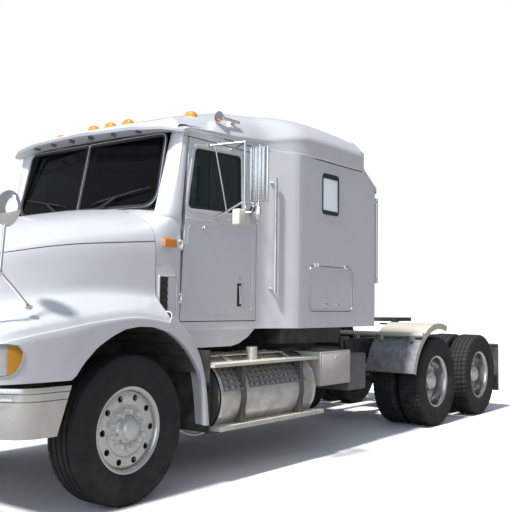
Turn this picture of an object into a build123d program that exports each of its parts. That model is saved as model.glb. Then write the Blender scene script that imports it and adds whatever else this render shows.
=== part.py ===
from build123d import *
import math
import os

os.makedirs("parts", exist_ok=True)

# Overall layout: x is measured from the front axle (forward), y from the middle (left), z from the ground.
# Every piece is modelled there and stored with the origin under the middle of the whole length.
OVERALL_LENGTH = 8195
FRONT_OVERHANG = 1245
WHEELBASE = 4916
TANDEM_SPREAD = 1320
STORED_SHIFT = OVERALL_LENGTH / 2 - FRONT_OVERHANG
NOSE_X = FRONT_OVERHANG
TAIL_X = FRONT_OVERHANG - OVERALL_LENGTH
DRIVE_1_X = -WHEELBASE
DRIVE_2_X = -WHEELBASE - TANDEM_SPREAD
MOVING_GAP = 6
SEAT_GAP = 0.3

# Wheels
TYRE_RADIUS = 520
TYRE_WIDTH = 280
TYRE_SHOULDER = 45
BEAD_RADIUS = 286.3
RIM_RADIUS = BEAD_RADIUS - SEAT_GAP
RIM_WIDTH = 236
RIM_WALL = 20
DISC_THICK = 18
HAND_HOLES = 10
HAND_HOLE_RADIUS = 27
HAND_HOLE_CIRCLE = 205
DRUM_RADIUS = 205
FRONT_WHEEL_Y = 1025
REAR_OUTER_Y = 1079
REAR_INNER_Y = 749
SPINDLE_RADIUS = 40
DRIVE_TUBE_RADIUS = 60
BEARING_GAP = 0.3
WHEEL_Z = TYRE_RADIUS

# Steering
KINGPIN_Y = 850
KINGPIN_RADIUS = 18

# Frame
RAIL_OUTER_Y = 432
RAIL_FLANGE = 90
RAIL_WEB = 10
RAIL_TOP = 1010
RAIL_HEIGHT = 270
RAIL_BOTTOM = RAIL_TOP - RAIL_HEIGHT
RAIL_FRONT_X = 950

# Cab and sleeper shell
CAB_HALF = 1030
SLEEPER_HALF = 1180
WALL = 50
FLOOR_Z = 1190
FLOOR_THICK = 40
COWL_FRONT_X = -345
DOOR_FRONT_X = -605
DOOR_REAR_X = -1575
DOOR_BOTTOM = 1257
CAB_REAR_X = -1720
FLARE_END_X = -2020
SLEEPER_REAR_X = -3450
SEAM_Z = 2770
DOOR_TOP = SEAM_Z - 55
ROOF_WALL = 40
GLASS_THICK = 8

# Door hinges
HINGE_X = -612
HINGE_Y = CAB_HALF + 8
HINGE_HEIGHTS = (1440, 1850)
HINGE_BARREL = 40
HINGE_PIN_RADIUS = 7

# Hood
HOOD_REAR_X = -335
HOOD_SKIN = 25
TILT_X = 1160
TILT_Z = 840
TILT_PIN_RADIUS = 12

# Tanks, steps and boxes
TANK_RADIUS = 320
TANK_Y = 860
TANK_Z = 650
TANK_FRONT_X = -950
TANK_REAR_X = -2300
STEP_OUTER_Y = 1190

# Fifth wheel
COUPLING_X = -5450
COUPLING_PIN_Z = 1165
COUPLING_TOP = 1250
PLATE_THICK = 45
KINGPIN_BORE_RADIUS = 25.6


def block(x0, x1, y0, y1, z0, z1):
    """Box between two corners."""
    size = (abs(x1 - x0), abs(y1 - y0), abs(z1 - z0))
    return Pos((x0 + x1) / 2, (y0 + y1) / 2, (z0 + z1) / 2) * Box(*size)


def side_face(points, radii=0):
    """Face in the XZ plane, its corners rounded."""
    path = FilletPolyline(*points, radius=radii, close=True) if radii else Polyline(*points, close=True)
    return make_face(path)


def side_plate(points, y0, y1, radii=0):
    """Outline of (x, z) points, from y0 to y1."""
    plane = Plane(origin=(0, y0, 0), x_dir=(1, 0, 0), z_dir=(0, -1, 0))
    return extrude(plane * side_face(points, radii), amount=-(y1 - y0))


def plan_plate(points, z0, z1, radii=0):
    """Outline of (x, y) points, from z0 to z1."""
    return extrude(Pos(0, 0, z0) * side_face(points, radii), amount=z1 - z0)


def cross_face(x, points, radii=0):
    """Face across the vehicle at x, of (y, z) points."""
    plane = Plane(origin=(x, 0, 0), x_dir=(0, 1, 0), z_dir=(1, 0, 0))
    return plane * side_face(points, radii)


def rod_y(x, z, y0, y1, radius):
    """Round bar across the vehicle."""
    return Pos(x, (y0 + y1) / 2, z) * Rot(90, 0, 0) * Cylinder(radius, abs(y1 - y0))


def rod_x(y, z, x0, x1, radius):
    """Round bar along the vehicle."""
    return Pos((x0 + x1) / 2, y, z) * Rot(0, 90, 0) * Cylinder(radius, abs(x1 - x0))


def rod_z(x, y, z0, z1, radius):
    """Upright round bar."""
    return Pos(x, y, (z0 + z1) / 2) * Cylinder(radius, abs(z1 - z0))


def flip(shape):
    """The same piece on the right side."""
    return mirror(shape, about=Plane.XZ)


def both(*shapes):
    """Each piece on the left and on the right."""
    return [*shapes, *[flip(shape) for shape in shapes]]


def spin(profile, x, y, z):
    """Solid turned about the axle line at (x, z), from (radius, y) points with y outwards."""
    face = make_face(Polyline(*[(r, s) for r, s in profile], close=True))
    ring = revolve(face, axis=Axis.Y)
    return Pos(x, y, z) * ring


def save(name, *shapes):
    """Write one piece, moved to the stored origin."""
    solids = []
    for shape in shapes:
        solids.extend(shape.solids())
    moved = [Pos(STORED_SHIFT, 0, 0) * solid for solid in solids]
    body = moved[0] if len(moved) == 1 else Compound(moved)
    export_step(body, f"parts/{name}.step")


def fused(*shapes):
    """One solid from overlapping shapes."""
    return shapes[0].fuse(*shapes[1:]) if len(shapes) > 1 else shapes[0]


# Wheels

def tyre(x, y):
    """Tyre with rounded shoulders about its middle plane y."""
    half = TYRE_WIDTH / 2
    tread = half - 18
    side = half - 4
    bead = RIM_WIDTH / 2 - 12
    profile = [
        (BEAD_RADIUS, -bead),
        (BEAD_RADIUS + 16, -bead),
        (BEAD_RADIUS + 30, -side),
        (TYRE_RADIUS - 120, -half),
        (TYRE_RADIUS - TYRE_SHOULDER, -half + 6),
        (TYRE_RADIUS - 8, -tread),
        (TYRE_RADIUS, -tread + 30),
        (TYRE_RADIUS, tread - 30),
        (TYRE_RADIUS - 8, tread),
        (TYRE_RADIUS - TYRE_SHOULDER, half - 6),
        (TYRE_RADIUS - 120, half),
        (BEAD_RADIUS + 30, side),
        (BEAD_RADIUS + 16, bead),
        (BEAD_RADIUS, bead),
    ]
    return spin(profile, x, y, WHEEL_Z)


def barrel(y):
    """Rim barrel profile as a ring about the axle."""
    half = RIM_WIDTH / 2
    flange = BEAD_RADIUS + 14
    profile = [
        (RIM_RADIUS - RIM_WALL, -half),
        (flange, -half),
        (flange, -half + 11),
        (RIM_RADIUS, -half + 12),
        (RIM_RADIUS, half - 12),
        (flange, half - 11),
        (flange, half),
        (RIM_RADIUS - RIM_WALL, half),
    ]
    return spin(profile, 0, y, 0)


def disc(y0, y1, inner, outer):
    """Flat ring across the axle."""
    return spin([(inner, y0), (outer, y0), (outer, y1), (inner, y1)], 0, 0, 0)


def hand_holes(y0, y1):
    """Ring of round holes through a wheel disc."""
    holes = []
    for number in range(HAND_HOLES):
        angle = 2 * math.pi * number / HAND_HOLES
        x = HAND_HOLE_CIRCLE * math.cos(angle)
        z = HAND_HOLE_CIRCLE * math.sin(angle)
        holes.append(rod_y(x, z, y0, y1, HAND_HOLE_RADIUS))
    return holes


def front_rim():
    """Front wheel, its disc bulging outwards, with hub and brake drum."""
    bore = SPINDLE_RADIUS + BEARING_GAP
    face = disc(62, 62 + DISC_THICK, 90, RIM_RADIUS - 10)
    hub = disc(-85, 128, bore, 100)
    cap = disc(100, 160, 0, 72)
    drum = disc(-85, -20, bore, DRUM_RADIUS)
    whole = fused(barrel(0), face, hub, cap, drum)
    whole = whole.cut(*hand_holes(40, 100))
    return whole


def rear_rims():
    """Pair of wheels on one hub, their discs together between the tyres; y from the outer wheel."""
    inner_y = REAR_INNER_Y - REAR_OUTER_Y
    middle = inner_y / 2
    bore = DRIVE_TUBE_RADIUS + BEARING_GAP
    faces = disc(middle - DISC_THICK, middle + DISC_THICK, 100, RIM_RADIUS - 10)
    outer_barrel = barrel(0)
    inner_barrel = barrel(inner_y)
    link = disc(middle - 50, middle + 50, RIM_RADIUS - RIM_WALL, RIM_RADIUS - 8)
    hub = disc(inner_y - 20, 60, bore, 120)
    cap = disc(40, 84, 0, 105)
    drum = disc(inner_y - 110, inner_y - 18, bore, DRUM_RADIUS)
    whole = fused(outer_barrel, inner_barrel, link, faces, hub, cap, drum)
    return whole.cut(*hand_holes(middle - 30, middle + 30))


FRONT_WHEELS = (("left", 1), ("right", -1))
for side, sign in FRONT_WHEELS:
    rim = Pos(0, FRONT_WHEEL_Y, WHEEL_Z) * front_rim()
    rubber = tyre(0, FRONT_WHEEL_Y)
    save(f"front_rim_{side}", rim if sign > 0 else flip(rim))
    save(f"front_tyre_{side}", rubber if sign > 0 else flip(rubber))

# Drive wheels: axle name, x
for axle, axle_x in (("1", DRIVE_1_X), ("2", DRIVE_2_X)):
    for side, sign in FRONT_WHEELS:
        rims = Pos(axle_x, REAR_OUTER_Y, WHEEL_Z) * rear_rims()
        rubbers = [tyre(axle_x, REAR_OUTER_Y), tyre(axle_x, REAR_INNER_Y)]
        save(f"drive_rims_{axle}_{side}", rims if sign > 0 else flip(rims))
        save(f"drive_tyres_{axle}_{side}", *(rubbers if sign > 0 else [flip(r) for r in rubbers]))

# Knuckles

FORK_TOP = WHEEL_Z + 100
FORK_BOTTOM = WHEEL_Z - 100
FORK_ARM = 40
AXLE_BOSS_RADIUS = 45
knuckle = fused(
    block(-45, 45, KINGPIN_Y - 40, KINGPIN_Y + 70, FORK_BOTTOM, FORK_BOTTOM + FORK_ARM),
    block(-45, 45, KINGPIN_Y - 40, KINGPIN_Y + 70, FORK_TOP - FORK_ARM, FORK_TOP),
    block(-60, 60, KINGPIN_Y + 55, KINGPIN_Y + 82, FORK_BOTTOM, FORK_TOP),
    rod_z(0, KINGPIN_Y, FORK_BOTTOM, FORK_TOP, KINGPIN_RADIUS),
    rod_y(0, WHEEL_Z, KINGPIN_Y + 80, FRONT_WHEEL_Y + 95, SPINDLE_RADIUS),
)
save("knuckle_left", knuckle)
save("knuckle_right", flip(knuckle))

# Axles

beam_half = fused(
    block(-40, 40, 0, 520, WHEEL_Z - 90, WHEEL_Z + 10),
    side_plate([(-40, WHEEL_Z - 60), (40, WHEEL_Z - 60), (40, WHEEL_Z + 35), (-40, WHEEL_Z + 35)],
               500, KINGPIN_Y - 20),
    rod_z(0, KINGPIN_Y, FORK_BOTTOM + FORK_ARM + MOVING_GAP, FORK_TOP - FORK_ARM - MOVING_GAP, AXLE_BOSS_RADIUS),
    block(-60, 60, 350, 450, WHEEL_Z + 5, WHEEL_Z + 45),
).cut(rod_z(0, KINGPIN_Y, 0, 1000, KINGPIN_RADIUS + BEARING_GAP))
beam = fused(beam_half, flip(beam_half))
drive_axles = []
for axle_x in (DRIVE_1_X, DRIVE_2_X):
    tube = rod_y(axle_x, WHEEL_Z, -REAR_OUTER_Y - 30, REAR_OUTER_Y + 30, DRIVE_TUBE_RADIUS)
    bowl = rod_x(0, WHEEL_Z, axle_x - 150, axle_x + 250, 150)
    ball = rod_y(axle_x, WHEEL_Z, -90, 90, 215)
    seats = both(block(axle_x - 70, axle_x + 70, 330, 450, WHEEL_Z - 75, WHEEL_Z + 90))
    drive_axles.append(fused(tube, ball, bowl, *seats))
save("axles", beam, *drive_axles)

# Springs and air bags

SPRING_Y0, SPRING_Y1 = 355, 430
spring_z = WHEEL_Z + 45
front_pack = fused(
    side_plate([(-780, 690), (-760, 690), (0, spring_z + 25), (760, 690), (780, 690), (780, 712),
                (740, 712), (0, spring_z + 60), (-740, 712), (-780, 712)], SPRING_Y0, SPRING_Y1),
    block(-260, 260, SPRING_Y0, SPRING_Y1, spring_z, spring_z + 40),
    block(-800, -740, SPRING_Y0, SPRING_Y1, 680, RAIL_BOTTOM),
    block(740, 800, SPRING_Y0, SPRING_Y1, 680, RAIL_BOTTOM),
)
suspension = both(front_pack)
for axle_x in (DRIVE_1_X, DRIVE_2_X):
    arm = side_plate([(axle_x + 520, 560), (axle_x + 90, WHEEL_Z + 90), (axle_x - 250, WHEEL_Z + 90),
                      (axle_x - 250, WHEEL_Z + 120), (axle_x + 60, WHEEL_Z + 130), (axle_x + 560, 620)],
                     345, 425)
    hanger = block(axle_x + 470, axle_x + 570, 340, 430, 540, RAIL_BOTTOM)
    bag = rod_z(axle_x - 150, 385, WHEEL_Z + 110, RAIL_BOTTOM, 42)
    suspension += both(fused(arm, hanger, bag))
save("suspension", *suspension)

# Frame

rail_profile = [
    (RAIL_OUTER_Y - RAIL_FLANGE, RAIL_BOTTOM), (RAIL_OUTER_Y, RAIL_BOTTOM), (RAIL_OUTER_Y, RAIL_TOP),
    (RAIL_OUTER_Y - RAIL_FLANGE, RAIL_TOP), (RAIL_OUTER_Y - RAIL_FLANGE, RAIL_TOP - RAIL_WEB),
    (RAIL_OUTER_Y - RAIL_WEB, RAIL_TOP - RAIL_WEB), (RAIL_OUTER_Y - RAIL_WEB, RAIL_BOTTOM + RAIL_WEB),
    (RAIL_OUTER_Y - RAIL_FLANGE, RAIL_BOTTOM + RAIL_WEB),
]
rail = extrude(cross_face(TAIL_X + 40, rail_profile), amount=RAIL_FRONT_X - TAIL_X - 40)
BUMPER_WALL = 12
EAR_Y0 = RAIL_OUTER_Y - RAIL_FLANGE - 10
EAR_Y1 = EAR_Y0 + 16
ear = fused(
    block(RAIL_FRONT_X - 200, NOSE_X - BUMPER_WALL, EAR_Y0, EAR_Y1, 620, 800),
    side_plate([(TILT_X - 60, 780), (TILT_X + 30, 780), (TILT_X + 22, TILT_Z + 22), (TILT_X - 22, TILT_Z + 22)],
               EAR_Y0, EAR_Y1),
    rod_y(TILT_X, TILT_Z, EAR_Y0, RAIL_OUTER_Y - 30, TILT_PIN_RADIUS),
)
save("frame_rails", *both(fused(rail, ear)))

ENGINE_HALF = 320
ENGINE_FEET_X = (450, -300)

# Crossmembers: x, half length along x, half width, z0, z1
inner_rail = RAIL_OUTER_Y - RAIL_WEB
CROSS = (
    (820, 60, EAR_Y0, RAIL_BOTTOM + RAIL_WEB, RAIL_BOTTOM + 80),
    (-1400, 50, inner_rail, RAIL_BOTTOM + 60, RAIL_TOP - 60),
    (-2900, 50, inner_rail, RAIL_BOTTOM + 60, RAIL_TOP - 60),
    (-4200, 50, inner_rail, RAIL_BOTTOM + 60, RAIL_TOP - 60),
    ((DRIVE_1_X + DRIVE_2_X) / 2, 60, inner_rail, RAIL_BOTTOM + 30, RAIL_TOP - 30),
    (TAIL_X + 90, 40, inner_rail, RAIL_BOTTOM + 30, RAIL_TOP - 30),
)
members = [block(x - half, x + half, -wide, wide, z0, z1) for x, half, wide, z0, z1 in CROSS]
lamp_bar = block(TAIL_X + 8, TAIL_X + 40, -RAIL_OUTER_Y - 60, RAIL_OUTER_Y + 60, 745, 855)
engine_feet = []
for x in ENGINE_FEET_X:
    engine_feet += both(block(x - 40, x + 40, ENGINE_HALF, inner_rail, RAIL_BOTTOM + RAIL_WEB, RAIL_BOTTOM + 70))
save("crossmembers", *members, lamp_bar, *engine_feet)

# Bumper, wrapped round both corners

def bumper_plan(inset):
    front = NOSE_X - inset
    end = 1220 - inset
    return [(580, -end), (900, -end), (front, -700), (front, 700), (900, end), (580, end), (300, end), (300, -end)]


BUMPER_TOP, BUMPER_BOTTOM = 875, 570
band = plan_plate(bumper_plan(0), BUMPER_BOTTOM, BUMPER_TOP, [0.0, 190, 300, 300, 190, 0.0, 0.0, 0.0])
hollow = plan_plate(bumper_plan(BUMPER_WALL), BUMPER_BOTTOM - 1, BUMPER_TOP + 1,
                    [0.0, 190 - BUMPER_WALL, 300 - BUMPER_WALL, 300 - BUMPER_WALL, 190 - BUMPER_WALL, 0.0, 0.0, 0.0])
end_cut = side_plate([(0, 500), (668, 500), (689, BUMPER_BOTTOM), (581, BUMPER_TOP), (562, 960), (0, 960)],
                     -1300, 1300)
SLOT_DEPTH = 8
slot_ring = plan_plate(bumper_plan(-5), 803, 829, [0.0, 190, 300, 300, 190, 0.0, 0.0, 0.0]).cut(
    plan_plate(bumper_plan(SLOT_DEPTH), 800, 832, [0.0, 190 - SLOT_DEPTH, 300 - SLOT_DEPTH, 300 - SLOT_DEPTH,
                                                   190 - SLOT_DEPTH, 0.0, 0.0, 0.0]),
    block(0, 955, -1400, 1400, 700, 900))
bumper = band.cut(hollow, end_cut, slot_ring)
save("front_bumper", bumper)

# Engine and radiator

save("engine_block", block(-450, 650, -ENGINE_HALF, ENGINE_HALF, 715, 1480))
save("radiator", block(760, 880, -EAR_Y0, EAR_Y0, RAIL_BOTTOM + 80, 1480))

# Tanks, straps and steps

tank = rod_x(TANK_Y, TANK_Z, TANK_REAR_X, TANK_FRONT_X, TANK_RADIUS)
tank = fillet(tank.edges().filter_by(GeomType.CIRCLE), 30)
filler = rod_z(-1560, 1000, TANK_Z + 250, 1035, 48).cut(tank)
save("fuel_tanks", *both(fused(tank, filler)))
steps = []
STRAP = 6
for strap_x in (-1230, -2070):
    ring = rod_x(TANK_Y, TANK_Z, strap_x - 35, strap_x + 35, TANK_RADIUS + STRAP)
    arm = block(strap_x - 35, strap_x + 35, RAIL_OUTER_Y, TANK_Y - 100, TANK_Z - 340, RAIL_TOP - 30)
    steps.append(fused(ring, arm).cut(rod_x(TANK_Y, TANK_Z, strap_x - 100, strap_x + 100, TANK_RADIUS + SEAT_GAP)))
upper = block(-2335, -845, 1020, STEP_OUTER_Y, 903, 927)
lower = block(-2400, -900, 1080, STEP_OUTER_Y + 20, 405, 440)
legs = []
for leg_x in (-1230, -2070):
    legs.append(block(leg_x - 25, leg_x + 25, 1120, 1180, 435, 910))
steps_left = fused(*steps, upper, lower, *legs).cut(rod_x(TANK_Y, TANK_Z, -2500, -900, TANK_RADIUS + SEAT_GAP),
                                                    rod_z(-1560, 1000, 800, 1100, 56))
save("tank_steps", *both(steps_left))

# Boxes behind the tanks: x0, x1, y0, y1, z0, z1
BOXES = ((-2930, -2385, RAIL_OUTER_Y, 1180, 645, 965), (-3290, -2945, RAIL_OUTER_Y, 1150, 560, 920))
boxes = [block(x0, x1, y0, y1, z0, z1) for x0, x1, y0, y1, z0, z1 in BOXES]
save("side_boxes", *both(*boxes))

# Deck and fifth wheel base

save("deck_plate", block(-4180, -3500, -RAIL_OUTER_Y, RAIL_OUTER_Y, RAIL_TOP, RAIL_TOP + 25))
PIN_RADIUS = 20
base_parts = []
for sign in (1, -1):
    low, high = sorted((sign * 310, sign * 430))
    base_parts.append(block(COUPLING_X - 250, COUPLING_X + 250, low, high, RAIL_TOP, RAIL_TOP + 30))
    for ear_y in (320, 420):
        y0, y1 = sorted((sign * (ear_y - 12), sign * (ear_y + 12)))
        base_parts.append(side_plate([(COUPLING_X - 130, RAIL_TOP + 20), (COUPLING_X + 130, RAIL_TOP + 20),
                                      (COUPLING_X + 32, COUPLING_PIN_Z + 26), (COUPLING_X - 32, COUPLING_PIN_Z + 26)],
                                     y0, y1))
    y0, y1 = sorted((sign * 310, sign * 430))
    base_parts.append(rod_y(COUPLING_X, COUPLING_PIN_Z, y0, y1, PIN_RADIUS))
plate_base = block(COUPLING_X - 250, COUPLING_X + 250, -430, 430, RAIL_TOP, RAIL_TOP + 12)
save("fifth_wheel_base", fused(plate_base, *base_parts))
PLATE_BOTTOM = COUPLING_TOP - PLATE_THICK
plate_outline = [(COUPLING_X + 300, -300), (COUPLING_X + 300, 300), (COUPLING_X + 120, 440),
                 (COUPLING_X - 330, 440), (COUPLING_X - 520, 330), (COUPLING_X - 520, 230),
                 (COUPLING_X - 110, 40), (COUPLING_X - 110, -40), (COUPLING_X - 520, -230),
                 (COUPLING_X - 520, -330), (COUPLING_X - 330, -440), (COUPLING_X + 120, -440)]
plate = plan_plate(plate_outline, PLATE_BOTTOM, COUPLING_TOP)
lugs = []
for lug_y in (370, -370):
    lugs.append(block(COUPLING_X - 45, COUPLING_X + 45, lug_y - 32, lug_y + 32,
                      COUPLING_PIN_Z - 42, PLATE_BOTTOM + 5))
plate = fused(plate, *lugs)
plate = plate.cut(rod_z(COUPLING_X, 0, 1100, 1400, KINGPIN_BORE_RADIUS),
                  rod_y(COUPLING_X, COUPLING_PIN_Z, -600, 600, PIN_RADIUS + BEARING_GAP))
save("fifth_wheel_plate", plate)

# Rear fenders with their tubes

FENDER_RADIUS = 700
FENDER_SHEET = 8
FENDER_Z = 505
ring = rod_y(DRIVE_1_X, FENDER_Z, 620, 1225, FENDER_RADIUS).cut(
    rod_y(DRIVE_1_X, FENDER_Z, 600, 1300, FENDER_RADIUS - FENDER_SHEET))
edge = rod_y(DRIVE_1_X, FENDER_Z, 1217, 1225, FENDER_RADIUS).cut(
    rod_y(DRIVE_1_X, FENDER_Z, 1200, 1300, FENDER_RADIUS - 70))
sector = side_plate([(DRIVE_1_X, FENDER_Z), (DRIVE_1_X + 900, FENDER_Z + 190), (DRIVE_1_X + 900, 1500),
                     (DRIVE_1_X - 350, 1500)], 500, 1400)
shell = fused(ring, edge).intersect(sector)
tube_x, tube_z, tube_r = -4440, 1072, 30
tube = rod_y(tube_x, tube_z, -1250, 1250, tube_r)
feet = [block(tube_x - 50, tube_x + 50, y0, y0 + 60, RAIL_TOP, tube_z - 10) for y0 in (360, -420)]
clamps = []
for clamp_y in (700, 1100, -740, -1140):
    clamps.append(block(tube_x - 20, tube_x + 60, clamp_y, clamp_y + 40, 1000, tube_z - 5))
tube = fused(tube, *feet, *clamps).cut(rod_y(DRIVE_1_X, FENDER_Z, -1300, 1300, FENDER_RADIUS + SEAT_GAP))
save("rear_fenders", *both(shell.solids()[0]), tube)

# Mud flaps: x, y0, y1, z0, z1
REAR_FLAP_X = TAIL_X + 50
FRONT_FLAP_X = -836
FLAPS = ((FRONT_FLAP_X, 620, 1150, 400, 1035), (REAR_FLAP_X, 620, 1210, 260, 880))
flaps = []
for x, y0, y1, z0, z1 in FLAPS:
    flaps.append(block(x - 6, x + 6, y0, y1, z0, z1))
front_flap_arm = block(FRONT_FLAP_X - 18, FRONT_FLAP_X + 6, RAIL_OUTER_Y, 640, 850, 950)
rear_flap_arm = rod_y(REAR_FLAP_X, 880, RAIL_OUTER_Y, 1200, 20)
save("mud_flaps", *both(fused(flaps[0], front_flap_arm), fused(flaps[1], rear_flap_arm)))

# Rear lamps on their bar
save("tail_lamps", *both(*[rod_x(y, 800, TAIL_X, TAIL_X + 8, 48) for y in (440, 320)]))

# Cab floor on its mounts

INNER_HALF = CAB_HALF - WALL
SLEEPER_INNER = SLEEPER_HALF - WALL
floor_plan = [(COWL_FRONT_X - WALL, -INNER_HALF), (COWL_FRONT_X - WALL, INNER_HALF), (CAB_REAR_X, INNER_HALF),
              (FLARE_END_X, SLEEPER_INNER), (SLEEPER_REAR_X + WALL, SLEEPER_INNER),
              (SLEEPER_REAR_X + WALL, -SLEEPER_INNER), (FLARE_END_X, -SLEEPER_INNER), (CAB_REAR_X, -INNER_HALF)]
floor = plan_plate(floor_plan, FLOOR_Z, FLOOR_Z + FLOOR_THICK)
floor = floor.cut(block(-460 - MOVING_GAP, 0, -330, 330, 1000, 1300))
mounts = []
for mount_x in (-700, -1700, -3300):
    for low in (350, -425):
        mounts.append(block(mount_x - 60, mount_x + 60, low, low + 75, RAIL_TOP, FLOOR_Z + 5))
under_box = side_plate([(-2020, FLOOR_Z), (-3080, FLOOR_Z), (-3040, 1030), (-1995, 1045)], 640, SLEEPER_HALF - 200)
save("cab_floor", fused(floor, under_box, flip(under_box), *mounts))

# Cowl: front of the cab, taking over the hood's round section and flattening to the doors

COWL_TOP = 2150
# Half section at the hood and at the doors: part of the cab's half width, z
COWL_AT_HOOD = ((0.0, 2150), (0.39, 2135), (0.72, 2085), (0.92, 1985), (0.99, 1860), (1.0, 1620), (1.0, FLOOR_Z))
COWL_AT_DOORS = ((0.0, 2172), (0.39, 2168), (0.72, 2158), (0.93, 2135), (0.985, 2060), (1.0, 1900), (1.0, FLOOR_Z))


def cowl_face(x, section, inset=0):
    half = [(part * CAB_HALF - (inset if part > 0.9 else 0), z - (inset if part < 0.95 else 0))
            for part, z in section]
    points = half + [(-y, z) for y, z in reversed(half[1:])]
    return cross_face(x, points)


cowl_outer = loft([cowl_face(COWL_FRONT_X, COWL_AT_HOOD), cowl_face(DOOR_FRONT_X, COWL_AT_DOORS)], ruled=True)
cowl_inner = loft([cowl_face(COWL_FRONT_X - WALL, COWL_AT_HOOD, WALL),
                   cowl_face(DOOR_FRONT_X - 1, COWL_AT_DOORS, WALL)],
                  ruled=True)
engine_gap = block(-470, 0, -340, 340, 1000, 1500)
front_box = cowl_outer.cut(cowl_inner, engine_gap)
tunnel = block(-520, COWL_FRONT_X - WALL, -390, 390, FLOOR_Z + FLOOR_THICK, 1540)
tunnel = tunnel.cut(block(-480, 0, -345, 345, 1000, 1495))
# Windscreen pillar sections: z, then (x, distance inside the cab's half width)
PILLAR = (
    (1990, ((-510, 170), (-550, 95), (-605, 40), (-605, 80), (-545, 180))),
    (2140, ((-470, 130), (-535, 20), (-605, 0), (-605, 45), (-530, 160))),
    (SEAM_Z, ((-660, 170), (-640, 15), (-680, 10), (-720, 45), (-720, 180))),
)
pillar_faces = []
for z, corners in PILLAR:
    outline = Polyline(*[(x, CAB_HALF - inside) for x, inside in corners], close=True)
    pillar_faces.append(Pos(0, 0, z) * make_face(outline))
pillar = loft(pillar_faces, ruled=True)
front_box = front_box.cut(block(-2000, 0, -INNER_HALF, INNER_HALF, FLOOR_Z - 1, FLOOR_Z + FLOOR_THICK))
door_hole = side_plate([(DOOR_FRONT_X, DOOR_BOTTOM), (-680, DOOR_TOP), (DOOR_REAR_X, DOOR_TOP),
                        (DOOR_REAR_X, DOOR_BOTTOM)], CAB_HALF - 2 * WALL, CAB_HALF + 50)
pillar = pillar.cut(door_hole)


def hinge_pin(z):
    """Door hinge pin held above and below by the cowl."""
    half = HINGE_BARREL / 2
    pieces = [rod_z(HINGE_X, HINGE_Y, z - half - 20, z + half + 20, HINGE_PIN_RADIUS)]
    for z0 in (z - half - 20, z + half + 2):
        pieces.append(block(HINGE_X, DOOR_FRONT_X + 20, CAB_HALF - 2, HINGE_Y + 7, z0, z0 + 18))
        pieces.append(rod_z(HINGE_X, HINGE_Y, z0, z0 + 18, HINGE_PIN_RADIUS + 2))
    return fused(*pieces)


pins = [hinge_pin(z) for z in HINGE_HEIGHTS]
reliefs = [rod_z(HINGE_X, HINGE_Y, z - HINGE_BARREL / 2 - 2, z + HINGE_BARREL / 2 + 2, HINGE_PIN_RADIUS + 7)
           for z in HINGE_HEIGHTS]
front_box = front_box.cut(*both(*reliefs))
save("cowl", fused(front_box, tunnel, pillar, flip(pillar), *both(*pins)))

# Windscreen: two panes meeting at the middle post

def pane(inset):
    bottom = [(-445 - inset, 0), (-495 - inset, CAB_HALF - 160), (-505 - inset, CAB_HALF - 160), (-455 - inset, 0)]
    top = [(-572 - inset, 0), (-690 - inset, CAB_HALF - 185), (-700 - inset, CAB_HALF - 185), (-582 - inset, 0)]
    return loft([Pos(0, 0, COWL_TOP) * make_face(Polyline(*bottom, close=True)),
                 Pos(0, 0, SEAM_Z - 35) * make_face(Polyline(*top, close=True))], ruled=True)


screen = pane(0).cut(pillar, front_box).solids().sort_by(SortBy.VOLUME)[-1]

# Cab sides: sill, header and rear pillar round the door opening

side_wall = side_plate([(DOOR_FRONT_X, FLOOR_Z), (-640, SEAM_Z), (CAB_REAR_X, SEAM_Z), (CAB_REAR_X, FLOOR_Z)],
                       CAB_HALF - WALL, CAB_HALF)
door_front_gap = block(DOOR_REAR_X + 100, 0, CAB_HALF - 2 * WALL, CAB_HALF + 50, DOOR_BOTTOM, DOOR_TOP)
cab_side = side_wall.cut(door_hole, door_front_gap, pillar).solids().sort_by(SortBy.VOLUME)[-1]
flare = plan_plate([(CAB_REAR_X, CAB_HALF - WALL), (CAB_REAR_X, CAB_HALF), (FLARE_END_X + 70, SLEEPER_HALF - 28),
                    (FLARE_END_X, SLEEPER_HALF - 8), (FLARE_END_X, SLEEPER_HALF - WALL)], FLOOR_Z, SEAM_Z)
skirt = side_plate([(-660, FLOOR_Z), (-1590, FLOOR_Z), (-1580, 1178), (-1500, 1122), (-1385, 1072), (-1280, 1050),
                    (-660, 1050)], 700, CAB_HALF - 25)
save("cab_sides", *both(fused(cab_side, flare, skirt)))

# Sleeper sides with window and luggage door openings

BACK_TOP_Z = SEAM_Z - 190
LID_AXIS_Y = SLEEPER_HALF + 6
LID_AXIS_Z = 1760
LID_PIN_RADIUS = 4
LID_HINGES_X = (-2300, -2840)
SHOULDER_X = -3140
LUGGAGE = (-2965, -2175, 1340, 1770)
WINDOW = (-2680, -2400, SEAM_Z - 500, SEAM_Z - 125)
sleeper_side = side_plate([(FLARE_END_X, FLOOR_Z), (FLARE_END_X, SEAM_Z), (SHOULDER_X, SEAM_Z),
                           (SLEEPER_REAR_X, BACK_TOP_Z), (SLEEPER_REAR_X, FLOOR_Z)], SLEEPER_INNER, SLEEPER_HALF)
x0, x1, z0, z1 = LUGGAGE
luggage_outline = [(x0, z0), (x1, z0), (x1, z1), (x0, z1)]
sleeper_plan = plan_plate([(FLARE_END_X, 0), (FLARE_END_X, SLEEPER_HALF - 8), (FLARE_END_X - 70, SLEEPER_HALF),
                           (SLEEPER_REAR_X + 42, SLEEPER_HALF), (SLEEPER_REAR_X + 12, SLEEPER_HALF - 12),
                           (SLEEPER_REAR_X, SLEEPER_HALF - 42), (SLEEPER_REAR_X, 0)], FLOOR_Z - 10, SEAM_Z + 10)
sleeper_side = sleeper_side.intersect(sleeper_plan).solids()[0]
OUTSIDE = SLEEPER_HALF + 100
sleeper_side = sleeper_side.cut(side_plate(luggage_outline, 1000, OUTSIDE, 60))
x0, x1, z0, z1 = WINDOW
window_outline = [(x0, z0), (x1, z0), (x1, z1), (x0, z1)]
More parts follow.
